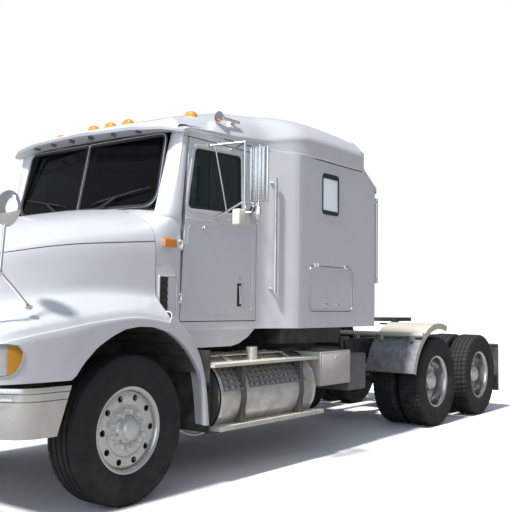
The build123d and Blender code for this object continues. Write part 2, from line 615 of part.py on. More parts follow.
sleeper_side = sleeper_side.cut(side_plate(window_outline, 1000, OUTSIDE, 50))
lid_hinges = []
for x in LID_HINGES_X:
    lid_hinges.append(rod_x(LID_AXIS_Y, LID_AXIS_Z, x - 36, x + 36, LID_PIN_RADIUS))
    for x0 in (x - 36, x + 22):
        lid_hinges.append(block(x0, x0 + 14, SLEEPER_HALF + 1, SLEEPER_HALF + 10, LID_AXIS_Z, LID_AXIS_Z + 30))
        lid_hinges.append(block(x0, x0 + 14, SLEEPER_HALF - 2, SLEEPER_HALF + 10, LID_AXIS_Z + 12, LID_AXIS_Z + 30))
sleeper_side = fused(sleeper_side, *lid_hinges)
save("sleeper_sides", *both(sleeper_side))
glass_y = SLEEPER_HALF - 20
side_glass = side_plate(window_outline, glass_y - GLASS_THICK, glass_y, 50)
save("cab_glass", fused(screen, flip(screen)), *both(side_glass))

# Luggage doors
g = MOVING_GAP
x0, x1, z0, z1 = LUGGAGE
lid_outline = [(x0 + g, z0 + g), (x1 - g, z0 + g), (x1 - g, z1 - g), (x0 + g, z1 - g)]
lid = side_plate(lid_outline, SLEEPER_INNER, SLEEPER_HALF, 60 - g)
lid_barrels = [rod_x(LID_AXIS_Y, LID_AXIS_Z, x - 20, x + 20, LID_PIN_RADIUS + 4) for x in LID_HINGES_X]
lid = fused(lid, *lid_barrels).cut(rod_x(LID_AXIS_Y, LID_AXIS_Z, -3000, -2000, LID_PIN_RADIUS + BEARING_GAP))
save("luggage_door_left", lid)
save("luggage_door_right", flip(lid))

# Sleeper back
back = block(SLEEPER_REAR_X, SLEEPER_REAR_X + WALL, -SLEEPER_INNER, SLEEPER_INNER, FLOOR_Z, BACK_TOP_Z - 30)
save("sleeper_back", back)

# Roof sections: x, half width, rise of the shoulder, top half width, rise of the crown above the seam
def roof_face(x, half, shoulder, top_half, crown, inset=0):
    base = SEAM_Z - (1 if inset else 0)
    side_z = SEAM_Z + shoulder - inset / 2
    top_z = SEAM_Z + crown - inset
    bend = ((half + top_half) / 2 + 40 - inset, (side_z + top_z) / 2 + 32 - inset / 3)
    near = [(half - inset, base), (half - inset, side_z), bend, (top_half - inset, top_z), (0, top_z + 14)]
    points = near + [(-y, z) for y, z in reversed(near[:-1])]
    return cross_face(x, points)


def roof_shell(rows, front_inset, rear_inset):
    outer = loft([roof_face(*row) for row in rows], ruled=True)
    inner_rows = [list(row) for row in rows]
    inner_rows[0][0] -= front_inset
    inner_rows[-1][0] += rear_inset
    inner = loft([roof_face(*row, inset=ROOF_WALL) for row in inner_rows], ruled=True)
    return outer.cut(inner)


CAB_ROOF = (
    (-600, CAB_HALF - 30, 25, 780, 95),
    (-860, CAB_HALF - 8, 45, 740, 180),
    (-1140, CAB_HALF, 60, 720, 258),
    (-1430, CAB_HALF, 85, 735, 318),
    (CAB_REAR_X, CAB_HALF, 110, 760, 345),
    (FLARE_END_X, SLEEPER_HALF - 8, 185, 850, 378),
)
SLEEPER_ROOF = (
    (FLARE_END_X, SLEEPER_HALF - 8, 185, 850, 378),
    (-2300, SLEEPER_HALF, 198, 870, 388),
    (-2750, SLEEPER_HALF, 198, 880, 380),
    (SHOULDER_X, SLEEPER_HALF, 190, 880, 350),
)
save("cab_roof", roof_shell(CAB_ROOF, ROOF_WALL, -10))
rear_cap = extrude(roof_face(*SLEEPER_ROOF[-1]), amount=-ROOF_WALL)
if rear_cap.center().X > SHOULDER_X:
    rear_cap = extrude(roof_face(*SLEEPER_ROOF[-1]), amount=ROOF_WALL)
slope = side_plate([(SHOULDER_X, SEAM_Z), (SHOULDER_X, SEAM_Z + 60), (SLEEPER_REAR_X, BACK_TOP_Z + 50),
                    (SLEEPER_REAR_X, BACK_TOP_Z)], -SLEEPER_HALF, SLEEPER_HALF)
save("sleeper_roof", fused(roof_shell(SLEEPER_ROOF, -10, -10), rear_cap, slope))

# Sun visor: y, front x, front z, rear z
VISOR = ((0, -400, 2796, 2800), (600, -430, 2786, 2796), (900, -492, 2768, 2786), (CAB_HALF + 35, -575, 2742, 2770))
visor_faces = []
for y, front_x, front_z, rear_z in [(-y, *rest) for y, *rest in reversed(VISOR[1:])] + list(VISOR):
    drop = SEAM_Z - 2770
    outline = [(-720, rear_z - 30 + drop), (-720, rear_z + 42 + drop), (front_x - 60, front_z + 26 + drop),
               (front_x, front_z + 4 + drop), (front_x - 14, front_z - 14 + drop)]
    plane = Plane(origin=(0, y, 0), x_dir=(1, 0, 0), z_dir=(0, -1, 0))
    visor_faces.append(plane * side_face(outline))
roof_cut = roof_shell(CAB_ROOF, ROOF_WALL, -10)
visor = loft(visor_faces, ruled=True)
visor = visor.cut(roof_cut, block(-800, -645, -2000, 2000, 2600, 3000), pillar, flip(pillar), *both(cab_side))
save("sun_visor", visor.solids().sort_by(SortBy.VOLUME)[-1])

# Lamps: x, y, height above the seam
LAMP_ROW = [(-790, y, 140) for y in (-220, 0, 220)] + [(-915, y, 150) for y in (-830, 830)]
roof_lamps = [block(x - 45, x + 45, y - 62, y + 62, SEAM_Z + rise, SEAM_Z + rise + 75) for x, y, rise in LAMP_ROW]
cowl_lamps = both(block(-545, -400, CAB_HALF, CAB_HALF + 25, 1815, 1895))
cowl_lamps = [lamp.cut(cowl_outer) for lamp in cowl_lamps]
save("marker_lamps", *[lamp.cut(roof_cut).solids().sort_by(Axis.Z)[-1] for lamp in roof_lamps], *cowl_lamps)

# Air horn on the left edge of the roof
HORN_X, HORN_Y, HORN_Z = -1070, 1000, SEAM_Z + 179
HORN_RADIUS = 47
HORN_THROAT = 14
HORN_LENGTH = 270
BELL_LENGTH = 70
horn = fused(rod_x(HORN_Y, HORN_Z, HORN_X - HORN_LENGTH, HORN_X - BELL_LENGTH, HORN_THROAT),
             Pos(HORN_X - BELL_LENGTH / 2, HORN_Y, HORN_Z) * Rot(0, 90, 0) * Cone(HORN_THROAT, HORN_RADIUS, BELL_LENGTH),
             block(HORN_X - 230, HORN_X - 200, HORN_Y - 75, HORN_Y, HORN_Z - 12, HORN_Z + 12))
save("air_horns", horn.cut(roof_cut).solids().sort_by(Axis.Y)[-1])

# Inside the cab
FLOOR_TOP = FLOOR_Z + FLOOR_THICK
dash = side_plate([(-520 - 2, 1560), (-520 - 2, 2095), (-720, 2095), (-860, 1980), (-840, 1740), (-640, 1560)],
                  -INNER_HALF + 10, INNER_HALF - 10)
dash = dash.cut(pillar, flip(pillar), front_box).solids().sort_by(SortBy.VOLUME)[-1]
column = block(-605, -560, 440, 560, FLOOR_TOP, 1600)
DRIVER_Y = CAB_HALF - 530
WHEEL_CENTRE = (-1010, DRIVER_Y, 2030)
LEAN = 40
SHAFT_RADIUS = 20
wheel_turn = Pos(*WHEEL_CENTRE) * Rot(0, -LEAN, 0)
sleeve = wheel_turn * Pos(0, 0, -220) * Cylinder(SHAFT_RADIUS + 12, 160)
shaft_bore = wheel_turn * Pos(0, 0, -150) * Cylinder(SHAFT_RADIUS + BEARING_GAP, 160)
save("dashboard", fused(dash, column, sleeve).cut(shaft_bore))
seats = []
for seat_y in (DRIVER_Y, -DRIVER_Y):
    base = block(-1480, -1120, seat_y - 200, seat_y + 200, FLOOR_TOP, 1560)
    cushion = block(-1560, -1020, seat_y - 250, seat_y + 250, 1550, 1690)
    back_rest = side_plate([(-1450, 1680), (-1560, 1680), (-1690, 2440), (-1600, 2440)], seat_y - 240, seat_y + 240)
    seats.append(fused(base, cushion, back_rest))
save("seats", *seats)
bunk_front = block(-2150, -2120, -SLEEPER_INNER + 5, SLEEPER_INNER - 5, FLOOR_TOP, 1800)
bunk_top = block(SLEEPER_REAR_X + WALL, -2120, -SLEEPER_INNER + 5, SLEEPER_INNER - 5, 1800, 1830)
mattress = block(SLEEPER_REAR_X + 70, -2160, -SLEEPER_INNER + 50, SLEEPER_INNER - 50, 1830, 1980)
save("bunk", fused(bunk_front, bunk_top, mattress))

# Steering wheel, about a column axis leaning back
hoop = Torus(225, 16)
spokes = [Rot(0, 0, angle) * Pos(110, 0, 0) * Box(220, 24, 14) for angle in (90, 210, 330)]
boss = Cylinder(45, 50)
shaft = Pos(0, 0, -120) * Cylinder(SHAFT_RADIUS, 200)
save("steering_wheel", wheel_turn * fused(hoop, boss, shaft, *spokes))

# Grab rails behind the sleeper and beside the doors
rail_x = SLEEPER_REAR_X - 90
rail_y = SLEEPER_HALF - 50
bar = rod_z(rail_x, rail_y, 1640, 2540, 16)
rear_rail = fused(bar, *[rod_x(rail_y, z, rail_x, SLEEPER_REAR_X, 14) for z in (1680, 2500)])
entry_x = CAB_REAR_X - 30
entry_y = CAB_HALF + 75
flare_wall = plan_plate([(CAB_REAR_X, 0), (CAB_REAR_X, CAB_HALF), (FLARE_END_X + 70, SLEEPER_HALF - 28),
                         (FLARE_END_X, SLEEPER_HALF), (FLARE_END_X, 0)], FLOOR_Z, SEAM_Z)
entry_rail = rod_z(entry_x, entry_y, 1500, 2520, 16)
entry_ends = [rod_y(entry_x, z, CAB_HALF, entry_y, 12) for z in (1540, 2480)]
save("grab_rails", *both(rear_rail, fused(entry_rail, *entry_ends).cut(flare_wall)))

# Hood and front fenders. Half sections from the centre line outwards, as (y, z):
# centre, inner top, outer top, shoulder, groove, side, junction with the fender, fender top, turn, corner, edge
HOOD_HALF_DRAWN = 1030
HOOD_DRAWN = (
    (HOOD_REAR_X, ((0, 2150), (400, 2135), (740, 2085), (950, 1985), (1020, 1860), (1030, 1620), (1035, 1470),
                   (1080, 1405), (1165, 1350), (1212, 1264), (1220, 1190))),
    (0, ((0, 2085), (380, 2070), (700, 2020), (900, 1930), (975, 1830), (990, 1620), (1000, 1490),
         (1050, 1430), (1150, 1368), (1212, 1302), (1220, 1200))),
    (350, ((0, 2005), (360, 1990), (640, 1945), (830, 1870), (905, 1795), (940, 1600), (960, 1480),
           (1020, 1425), (1130, 1355), (1210, 1276), (1220, 1170))),
    (650, ((0, 1920), (330, 1905), (570, 1860), (750, 1800), (825, 1745), (870, 1570), (910, 1450),
           (980, 1395), (1100, 1320), (1196, 1230), (1210, 1140))),
    (950, ((0, 1810), (300, 1795), (480, 1760), (640, 1720), (720, 1675), (790, 1500), (840, 1400),
           (920, 1340), (1050, 1260), (1160, 1180), (1180, 1100))),
    (1100, ((0, 1720), (280, 1705), (430, 1675), (560, 1630), (640, 1585), (710, 1440), (770, 1350),
            (850, 1290), (980, 1210), (1095, 1138), (1120, 1080))),
    (1180, ((0, 1640), (270, 1630), (400, 1600), (520, 1555), (590, 1510), (650, 1390), (700, 1310),
            (780, 1250), (900, 1170), (1015, 1108), (1040, 1070))),
)
# The hood is drawn for one half width of the cab and spreads with it
SPREAD = CAB_HALF / HOOD_HALF_DRAWN
HOOD = tuple((x, tuple((y * SPREAD, z) for y, z in section)) for x, section in HOOD_DRAWN)
JUNCTION = 6
FENDER_BOTTOM = 910
NOSE_BOTTOM = 935
ARCH_RADIUS = 710
LINER_SHEET = 12


def hood_face(x, section, inset=0):
    """Closed hood section down to the fender junction."""
    half = []
    for number, (y, z) in enumerate(section[:JUNCTION + 1]):
        half.append((y - (inset if number > 2 else 0), z - (inset if number < 4 else 0)))
    floor_z = half[-1][1] - (30 if inset else 0)
    half[-1] = (half[-1][0], floor_z)
    return cross_face(x, half + [(-y, z) for y, z in reversed(half[1:])])


def fender_face(x, section, inset=0):
    """Closed fender section from the junction down to its lower edge."""
    half = [(y - (inset if number > JUNCTION + 1 else 0), z - (inset if number < JUNCTION + 3 else 0))
            for number, (y, z) in enumerate(section)][JUNCTION:]
    bottom = FENDER_BOTTOM - (10 if inset else 0)
    inner_y = section[JUNCTION][0] - (60 if not inset else 35)
    return cross_face(x, [(inner_y, half[0][1]), *half, (half[-1][0], bottom), (inner_y, bottom)])


outer_hood = loft([hood_face(x, section) for x, section in HOOD], ruled=True)
inner_hood_rows = [(HOOD_REAR_X - 5, HOOD[0][1])] + list(HOOD[1:-1]) + [(HOOD[-1][0] - HOOD_SKIN, HOOD[-1][1])]
inner_hood = loft([hood_face(x, section, HOOD_SKIN) for x, section in inner_hood_rows], ruled=True)
nose = plan_plate([(1110, -760), (1180, -690), (1194, -350), (1200, 0), (1194, 350), (1180, 690), (1110, 760)],
                  NOSE_BOTTOM, 1480)
GRILLE_TOP = 1500
nose_gap = block(1000, 1300, -400, 400, NOSE_BOTTOM + 25, GRILLE_TOP)
lug = side_plate([(TILT_X - 20, TILT_Z - 20), (TILT_X + 20, TILT_Z - 12), (TILT_X - 20, 1000),
                  (TILT_X - 60, 1000)], RAIL_OUTER_Y - 70, RAIL_OUTER_Y - 40)
lug = lug.cut(rod_y(TILT_X, TILT_Z, 0, 600, TILT_PIN_RADIUS + BEARING_GAP))
lug_foot = block(1080, 1140, RAIL_OUTER_Y - 80, RAIL_OUTER_Y - 30, 950, 1010)
hood_skin = outer_hood.cut(inner_hood, nose_gap)
nose = nose.cut(inner_hood, nose_gap)
save("hood_shell", fused(hood_skin, nose, lug, flip(lug), lug_foot, flip(lug_foot)))

# Rear leg of the fender, its outer edge rounded: y, how far the curve is drawn in
LEG_CURVE = ((-330, 1390), (-425, 1300), (-530, 1196), (-610, 1095), (-676, 985), (-728, 833), (-765, 671),
             (-787, 465))
LEG_ROUNDING = ((1070, 0), (1165, 50), (1205, 120), (1220, 175))


def leg_face(y, drawn_in):
    points = []
    for x, z in LEG_CURVE:
        reach = math.hypot(x, z - WHEEL_Z)
        keep = 1 - min(drawn_in * (z - 465) / 800, reach - ARCH_RADIUS - 4 if z > 600 else 0) / reach
        points.append((x * keep, WHEEL_Z + (z - WHEEL_Z) * keep if z > 600 else z))
    plane = Plane(origin=(0, y, 0), x_dir=(1, 0, 0), z_dir=(0, -1, 0))
    return plane * side_face([*points, (-600, 465), (-330, 1000)])


leg = loft([leg_face(y, drawn_in) for y, drawn_in in LEG_ROUNDING], ruled=True)
outer_fender = loft([fender_face(x, section) for x, section in HOOD], ruled=True)
inner_fender_rows = [(HOOD_REAR_X + HOOD_SKIN, HOOD[0][1])] + list(HOOD[1:-2]) + [(1085, HOOD[-2][1])]
inner_fender = loft([fender_face(x, section, HOOD_SKIN) for x, section in inner_fender_rows], ruled=True)
corner_plan = plan_plate([(-1000, 600), (-1000, 1300), (840, 1300), (985, 1195), (1085, 1085), (1145, 950),
                          (1170, 800), (1180, 600)], 800, 1600)
wheel_space = rod_y(0, WHEEL_Z, 500, 1300, ARCH_RADIUS)
liner_part = block(HOOD_REAR_X, 700, 500, 1190, FENDER_BOTTOM + 30, 1400)
liner = fused(rod_y(0, WHEEL_Z, 512, 1190, ARCH_RADIUS + LINER_SHEET).cut(rod_y(0, WHEEL_Z, 500, 1200, ARCH_RADIUS)),
              rod_y(0, WHEEL_Z, 512, 512 + LINER_SHEET, ARCH_RADIUS + 2)).intersect(liner_part).solids()[0]
# Headlamp let into the front corner: x0, x1, y0, y1, z0, z1
LAMP_PLACE = (930, 1300, 860, 1300, 950, 1135)
fender_body = outer_fender.intersect(corner_plan).solids()[0]
lamp = fender_body.intersect(block(*LAMP_PLACE)).solids()[0]
x0, x1, y0, y1, z0, z1 = LAMP_PLACE
pocket = block(x0 - SEAT_GAP, x1, y0 - SEAT_GAP, y1, z0 - SEAT_GAP, z1 + SEAT_GAP)
fender = fused(fender_body.cut(inner_fender, wheel_space), leg.cut(wheel_space), liner)
# Swing clearance over the bumper when the hood tilts
swing_gap = side_plate([(1146, 880), (1146, 902), (1200, 995), (1200, 880)], -1300, 1300)
fender = fender.cut(pocket, outer_hood, nose, swing_gap)
fender = fender.solids().sort_by(SortBy.VOLUME)[-1]
save("front_fenders", *both(fender))

# Grille bars
bars = [block(1150, 1175, -400, 400, z, z + 14) for z in range(NOSE_BOTTOM + 55, GRILLE_TOP - 20, 40)]
posts = [block(1140, 1152, y - 10, y + 10, NOSE_BOTTOM + 25, GRILLE_TOP) for y in (-300, 0, 300)]
save("grille", fused(*bars, *posts))

# Headlamps
save("headlamps", *both(lamp))

# Fender mirrors on the hood
stalk = fused(rod_z(980, 1080, 1150, 1960, 12), rod_x(1080, 1960, 985, 1030, 115))
save("hood_mirrors", *both(stalk.cut(outer_fender, inner_fender).solids().sort_by(SortBy.VOLUME)[-1]))

# Doors
hinge_front = DOOR_FRONT_X - MOVING_GAP
latch = DOOR_REAR_X + MOVING_GAP + 2
door_outline = [(hinge_front, DOOR_BOTTOM + g), (-686, DOOR_TOP - g), (latch, DOOR_TOP - g), (latch, DOOR_BOTTOM + g)]
door = side_plate(door_outline, CAB_HALF - WALL, CAB_HALF)
barrels = []
for z in HINGE_HEIGHTS:
    low, high = z - HINGE_BARREL / 2, z + HINGE_BARREL / 2
    barrels.append(rod_z(HINGE_X, HINGE_Y, low, high, HINGE_PIN_RADIUS + 5))
    barrels.append(block(HINGE_X - 80, HINGE_X, CAB_HALF - 4, CAB_HALF + 4, low, high))
door = fused(door, *barrels).cut(rod_z(HINGE_X, HINGE_Y, 1200, 2700, HINGE_PIN_RADIUS + BEARING_GAP))
door_window = [(-680, 2146), (-762, DOOR_TOP - 82), (-1338, DOOR_TOP - 62), (-1362, 2168)]
door = door.cut(side_plate(door_window, CAB_HALF - 2 * WALL, CAB_HALF + WALL, 40))
pane_y = CAB_HALF - 20
door_glass = side_plate(door_window, pane_y - GLASS_THICK, pane_y, 40)
MIRROR_Y = CAB_HALF + 270
MIRROR_TOP = DOOR_TOP - 35
mirror_post = fused(rod_z(-1070, MIRROR_Y, 2100, MIRROR_TOP, 12),
                    rod_y(-1070, MIRROR_TOP - 20, CAB_HALF, MIRROR_Y + 12, 12),
                    rod_y(-1070, 2110, CAB_HALF, MIRROR_Y + 12, 12))
mirror_head = block(-1240, -1075, MIRROR_Y - 10, MIRROR_Y + 140, 2220, MIRROR_TOP - 10)
round_mirror = rod_x(MIRROR_Y + 70, 2100, -1160, -1060, 90)
door_mirror = fused(mirror_post, mirror_head, round_mirror)
for side, sign in FRONT_WHEELS:
    save(f"door_{side}", door if sign > 0 else flip(door))
    save(f"door_glass_{side}", door_glass if sign > 0 else flip(door_glass))
    save(f"door_mirror_{side}", door_mirror if sign > 0 else flip(door_mirror))
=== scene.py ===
import math

import bpy
from mathutils import Matrix, Vector


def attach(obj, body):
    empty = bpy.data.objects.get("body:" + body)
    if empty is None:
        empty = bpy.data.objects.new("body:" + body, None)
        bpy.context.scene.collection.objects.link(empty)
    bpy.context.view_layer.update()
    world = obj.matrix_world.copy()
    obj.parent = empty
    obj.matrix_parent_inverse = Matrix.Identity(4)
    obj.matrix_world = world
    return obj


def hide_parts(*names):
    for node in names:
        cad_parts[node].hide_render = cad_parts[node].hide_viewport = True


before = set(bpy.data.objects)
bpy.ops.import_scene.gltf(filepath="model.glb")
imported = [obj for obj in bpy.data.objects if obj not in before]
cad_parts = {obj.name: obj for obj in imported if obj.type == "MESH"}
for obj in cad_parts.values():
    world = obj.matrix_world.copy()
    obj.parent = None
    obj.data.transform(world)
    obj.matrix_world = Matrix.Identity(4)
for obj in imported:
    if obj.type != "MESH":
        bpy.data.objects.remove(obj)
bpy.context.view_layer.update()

# The pieces are modelled from the front axle, x forward, y to the left, and moved to the stored origin
# when they are settled
STORED_SHIFT = 2.8525
WHEELBASE = 4.916
TANDEM_SPREAD = 1.32
DRIVE_1_X = -WHEELBASE
DRIVE_2_X = -WHEELBASE - TANDEM_SPREAD
TYRE_RADIUS = 0.52
WHEEL_Z = TYRE_RADIUS
CAB_HALF = 1.03
SLEEPER_HALF = 1.18
COUPLING_FACE = 1.23
FRONT_WHEEL_Y = 1.025
DRIVE_OUTER_Y = 1.079
DRIVE_INNER_Y = 0.749
SIDES = (("left", 1), ("right", -1))


# Helpers for modelling

def only(piece):
    """Select this piece alone."""
    bpy.ops.object.select_all(action="DESELECT")
    piece.select_set(True)
    bpy.context.view_layer.objects.active = piece
    return piece


def named(name):
    piece = bpy.context.object
    piece.name = name
    piece.data.name = name
    bpy.ops.object.transform_apply(location=True, rotation=True, scale=True)
    return piece


def add_box(name, x0, x1, y0, y1, z0, z1):
    """Box between two corners, ready to be shaped."""
    bpy.ops.object.select_all(action="DESELECT")
    bpy.ops.mesh.primitive_cube_add(size=1, location=((x0 + x1) / 2, (y0 + y1) / 2, (z0 + z1) / 2))
    bpy.context.object.scale = (abs(x1 - x0), abs(y1 - y0), abs(z1 - z0))
    return named(name)


def add_rod(name, start, end, radius, sides=20):
    """Round bar between two points."""
    a, b = Vector(start), Vector(end)
    along = b - a
    bpy.ops.object.select_all(action="DESELECT")
    bpy.ops.mesh.primitive_cone_add(vertices=sides, radius1=radius, radius2=radius, depth=along.length,
                                    location=(a + b) / 2, rotation=along.to_track_quat("Z", "Y").to_euler())
    return named(name)


def add_ball(name, centre, radius, segments=24, rings=12):
    bpy.ops.object.select_all(action="DESELECT")
    bpy.ops.mesh.primitive_uv_sphere_add(segments=segments, ring_count=rings, radius=radius, location=centre)
    return named(name)


def use_modifier(piece, kind, **values):
    """Add one modifier and apply it."""
    only(piece)
    modifier = piece.modifiers.new(kind.lower(), kind)
    for key, value in values.items():
        setattr(modifier, key, value)
    bpy.ops.object.modifier_apply(modifier=modifier.name)
    return piece


def rounded(piece, width, segments=2, angle=30):
    """Round every sharp edge."""
    return use_modifier(piece, "BEVEL", width=width, segments=segments, limit_method="ANGLE",
                        angle_limit=math.radians(angle), use_clamp_overlap=True, harden_normals=False)


def smooth(piece, angle=35):
    only(piece)
    bpy.ops.object.shade_smooth_by_angle(angle=math.radians(angle))
    return piece


def joined(name, parts):
    bpy.ops.object.select_all(action="DESELECT")
    for part in parts:
        part.select_set(True)
    bpy.context.view_layer.objects.active = parts[0]
    if len(parts) > 1:
        bpy.ops.object.join()
    piece = bpy.context.object
    piece.name = name
    piece.data.name = name
    return piece


def copy_of(piece, name, move=(0, 0, 0)):
    twin = piece.copy()
    twin.data = piece.data.copy()
    twin.name = name
    bpy.context.scene.collection.objects.link(twin)
    twin.data.transform(Matrix.Translation(move))
    return twin


def mirrored(piece):
    """Turn a left piece into the right one, its faces still outwards."""
    piece.data.transform(Matrix.Diagonal((1, -1, 1, 1)))
    piece.data.flip_normals()
    return piece


def across(piece, name=None):
    """A copy of the piece on the right side."""
    return mirrored(copy_of(piece, name or piece.name + "_right"))


def both_sides(piece):
    """One mesh with the piece on the left and on the right."""
    return joined(piece.name, [piece, across(piece)])


def add_outline(name, points, axis, start, end):
    """Plate from a flat outline: points are (x, z) along y, (x, y) along z, or (y, z) along x."""
    mesh = bpy.data.meshes.new(name)
    places = {"x": lambda a, b, d: (d, a, b), "y": lambda a, b, d: (a, d, b), "z": lambda a, b, d: (a, b, d)}
    place = places[axis]
    mesh.from_pydata([place(a, b, start) for a, b in points], [], [list(range(len(points)))])
    piece = bpy.data.objects.new(name, mesh)
    bpy.context.scene.collection.objects.link(piece)
    only(piece)
    bpy.ops.object.mode_set(mode="EDIT")
    bpy.ops.mesh.select_all(action="SELECT")
    bpy.ops.mesh.extrude_region_move(TRANSFORM_OT_translate={"value": place(0, 0, end - start)})
    bpy.ops.mesh.select_all(action="SELECT")
    bpy.ops.mesh.normals_make_consistent(inside=False)
    bpy.ops.object.mode_set(mode="OBJECT")
    return piece


def add_turned(name, profile, centre, steps=72, axis="y"):
    """Ring turned about a line along y or x through centre; profile is (radius, distance along it)."""
    mesh = bpy.data.meshes.new(name)
    cx, cy, cz = centre
    if axis == "y":
        points = [(cx + r, cy + d, cz) for r, d in profile]
        line = (0, 1, 0)
    else:
        points = [(cx + d, cy, cz + r) for r, d in profile]
        line = (1, 0, 0)
    edges = [(i, i + 1) for i in range(len(points) - 1)]
    mesh.from_pydata(points, edges, [])
    piece = bpy.data.objects.new(name, mesh)
    bpy.context.scene.collection.objects.link(piece)
    only(piece)
    bpy.ops.object.mode_set(mode="EDIT")
    bpy.ops.mesh.select_all(action="SELECT")
    bpy.ops.mesh.spin(steps=steps, angle=2 * math.pi, center=centre, axis=line)
    bpy.ops.mesh.select_all(action="SELECT")
    bpy.ops.mesh.remove_doubles(threshold=0.00005)
    bpy.ops.mesh.normals_make_consistent(inside=False)
    bpy.ops.object.mode_set(mode="OBJECT")
    return piece


def add_skin(name, rows, closed=False):
    """Sheet through rows of points, all of the same count."""
    wide = len(rows[0])
    bpy.ops.object.select_all(action="DESELECT")
    bpy.ops.mesh.primitive_grid_add(x_subdivisions=wide - 1, y_subdivisions=len(rows) - 1, size=1)
    piece = named(name)
    flat = [point for row in rows for point in row]
    for vertex, point in zip(piece.data.vertices, flat):
        vertex.co = point
    if closed:
        only(piece)
        bpy.ops.object.mode_set(mode="EDIT")
        bpy.ops.mesh.select_all(action="SELECT")
        bpy.ops.mesh.remove_doubles(threshold=0.00005)
        bpy.ops.mesh.normals_make_consistent(inside=False)
        bpy.ops.object.mode_set(mode="OBJECT")
    return piece


def outwards(piece, inside_point=(-1.0, 0, 1.6)):
    """Turn an open sheet so that its faces look away from a point within the vehicle."""
    total = 0.0
    middle = Vector(inside_point)
    for face in piece.data.polygons:
        total += face.area * face.normal.dot(face.center - middle)
    if total < 0:
        piece.data.flip_normals()
    return piece


def curve_between(points, count):
    """Smooth curve through the points (Catmull-Rom), as count steps for each stretch."""
    line = [Vector(p) for p in points]
    padded_line = [2 * line[0] - line[1]] + line + [2 * line[-1] - line[-2]]
    result = []
    for number in range(len(line) - 1):
        a, b, c, d = padded_line[number:number + 4]
        for step in range(count):
            t = step / count
            result.append(0.5 * ((2 * b) + (c - a) * t + (2 * a - 5 * b + 4 * c - d) * t ** 2
                                 + (3 * b - a - 3 * c + d) * t ** 3))
    result.append(line[-1])
    return result


def grid_between(rows, along, over):
    """A finer table through a table of points: along steps between rows, over steps between columns."""
    wide = [curve_between(row, over) for row in rows]
    columns = [curve_between([row[number] for row in wide], along) for number in range(len(wide[0]))]
    return [[column[number] for column in columns] for number in range(len(columns[0]))]


CAB_MIDDLE = Vector((-1.2, 0, 1.95))
SLEEPER_MIDDLE = Vector((-2.7, 0, 2.0))


def lined(piece, lining, middle):
    """Give the faces that look into the cab their own lining."""
    piece.data.materials.append(lining)
    number = len(piece.data.materials) - 1
    middle = middle + Vector((STORED_SHIFT, 0, 0))
    for face in piece.data.polygons:
        toward = middle - face.center
        if face.normal.dot(toward.normalized()) > 0.12:
            face.material_index = number
    return piece


def rounded_outline(points, radius, steps=5):
    """Corners of a flat outline turned into arcs; points are (a, b), one radius for all or one for each."""
    count = len(points)
    radii = radius if isinstance(radius, (list, tuple)) else [radius] * count
    line = []
    for number, (a, b) in enumerate(points):
        here = Vector((a, b))
        before = Vector(points[number - 1]) - here
        after = Vector(points[(number + 1) % count]) - here
        half_turn = before.angle(after) / 2
        reach = min(radii[number] / math.tan(half_turn), before.length * 0.49, after.length * 0.49)
        start, end = here + before.normalized() * reach, here + after.normalized() * reach
        for step in range(steps + 1):
            t = step / steps
            line.append(start * (1 - t) ** 2 + here * 2 * t * (1 - t) + end * t ** 2)
    return [(p.x, p.y) for p in line]


def grown(points, distance):
    """A convex outline moved outwards by a distance, inwards if negative; counter-clockwise or clockwise."""
    count = len(points)
    area = sum(points[i - 1][0] * points[i][1] - points[i][0] * points[i - 1][1] for i in range(count))
    sign = 1 if area > 0 else -1
    lines = []
    for number in range(count):
        a, b = Vector(points[number]), Vector(points[(number + 1) % count])
        way = (b - a).normalized()
        out = Vector((way.y, -way.x)) * sign
        lines.append((a + out * distance, way))
    result = []
    for number in range(count):
        (p, d), (q, e) = lines[number - 1], lines[number]
        cross = d.x * e.y - d.y * e.x
        t = ((q.x - p.x) * e.y - (q.y - p.y) * e.x) / cross
        result.append(tuple(p + d * t))
    return result


def add_ring(name, outer, inner, place, depth):
    """Frame between two outlines of the same count; place(a, b, d) gives the point, d from 0 to depth."""
    count = len(outer)
    points = []
    for distance in (0, depth):
        points += [place(a, b, distance) for a, b in outer]
        points += [place(a, b, distance) for a, b in inner]
    faces = []
    for i in range(count):
        j = (i + 1) % count
        faces += [(i, j, j + count, i + count), (2 * count + i, 3 * count + i, 3 * count + j, 2 * count + j),
                  (i, 2 * count + i, 2 * count + j, j), (count + i, count + j, 3 * count + j, 3 * count + i)]
    mesh = bpy.data.meshes.new(name)
    mesh.from_pydata([Vector(p) for p in points], [], faces)
    piece = bpy.data.objects.new(name, mesh)
    bpy.context.scene.collection.objects.link(piece)
    only(piece)
    bpy.ops.object.mode_set(mode="EDIT")
    bpy.ops.mesh.select_all(action="SELECT")
    bpy.ops.mesh.normals_make_consistent(inside=False)
    bpy.ops.object.mode_set(mode="OBJECT")
    return piece


def frame_round(name, outline, outer_margin, inner_margin, radius, place, depth, bevel=0.002):
    """Rounded frame about a window or door outline."""
    outer_radius = max(radius + outer_margin, 0.004)
    inner_radius = max(radius - inner_margin, 0.004)
    outer = rounded_outline(grown(outline, outer_margin), outer_radius)
    inner = rounded_outline(grown(outline, -inner_margin), inner_radius)
    piece = add_ring(name, outer, inner, place, depth)
    rounded(piece, bevel, 2, 50)
    return smooth(piece, 40)


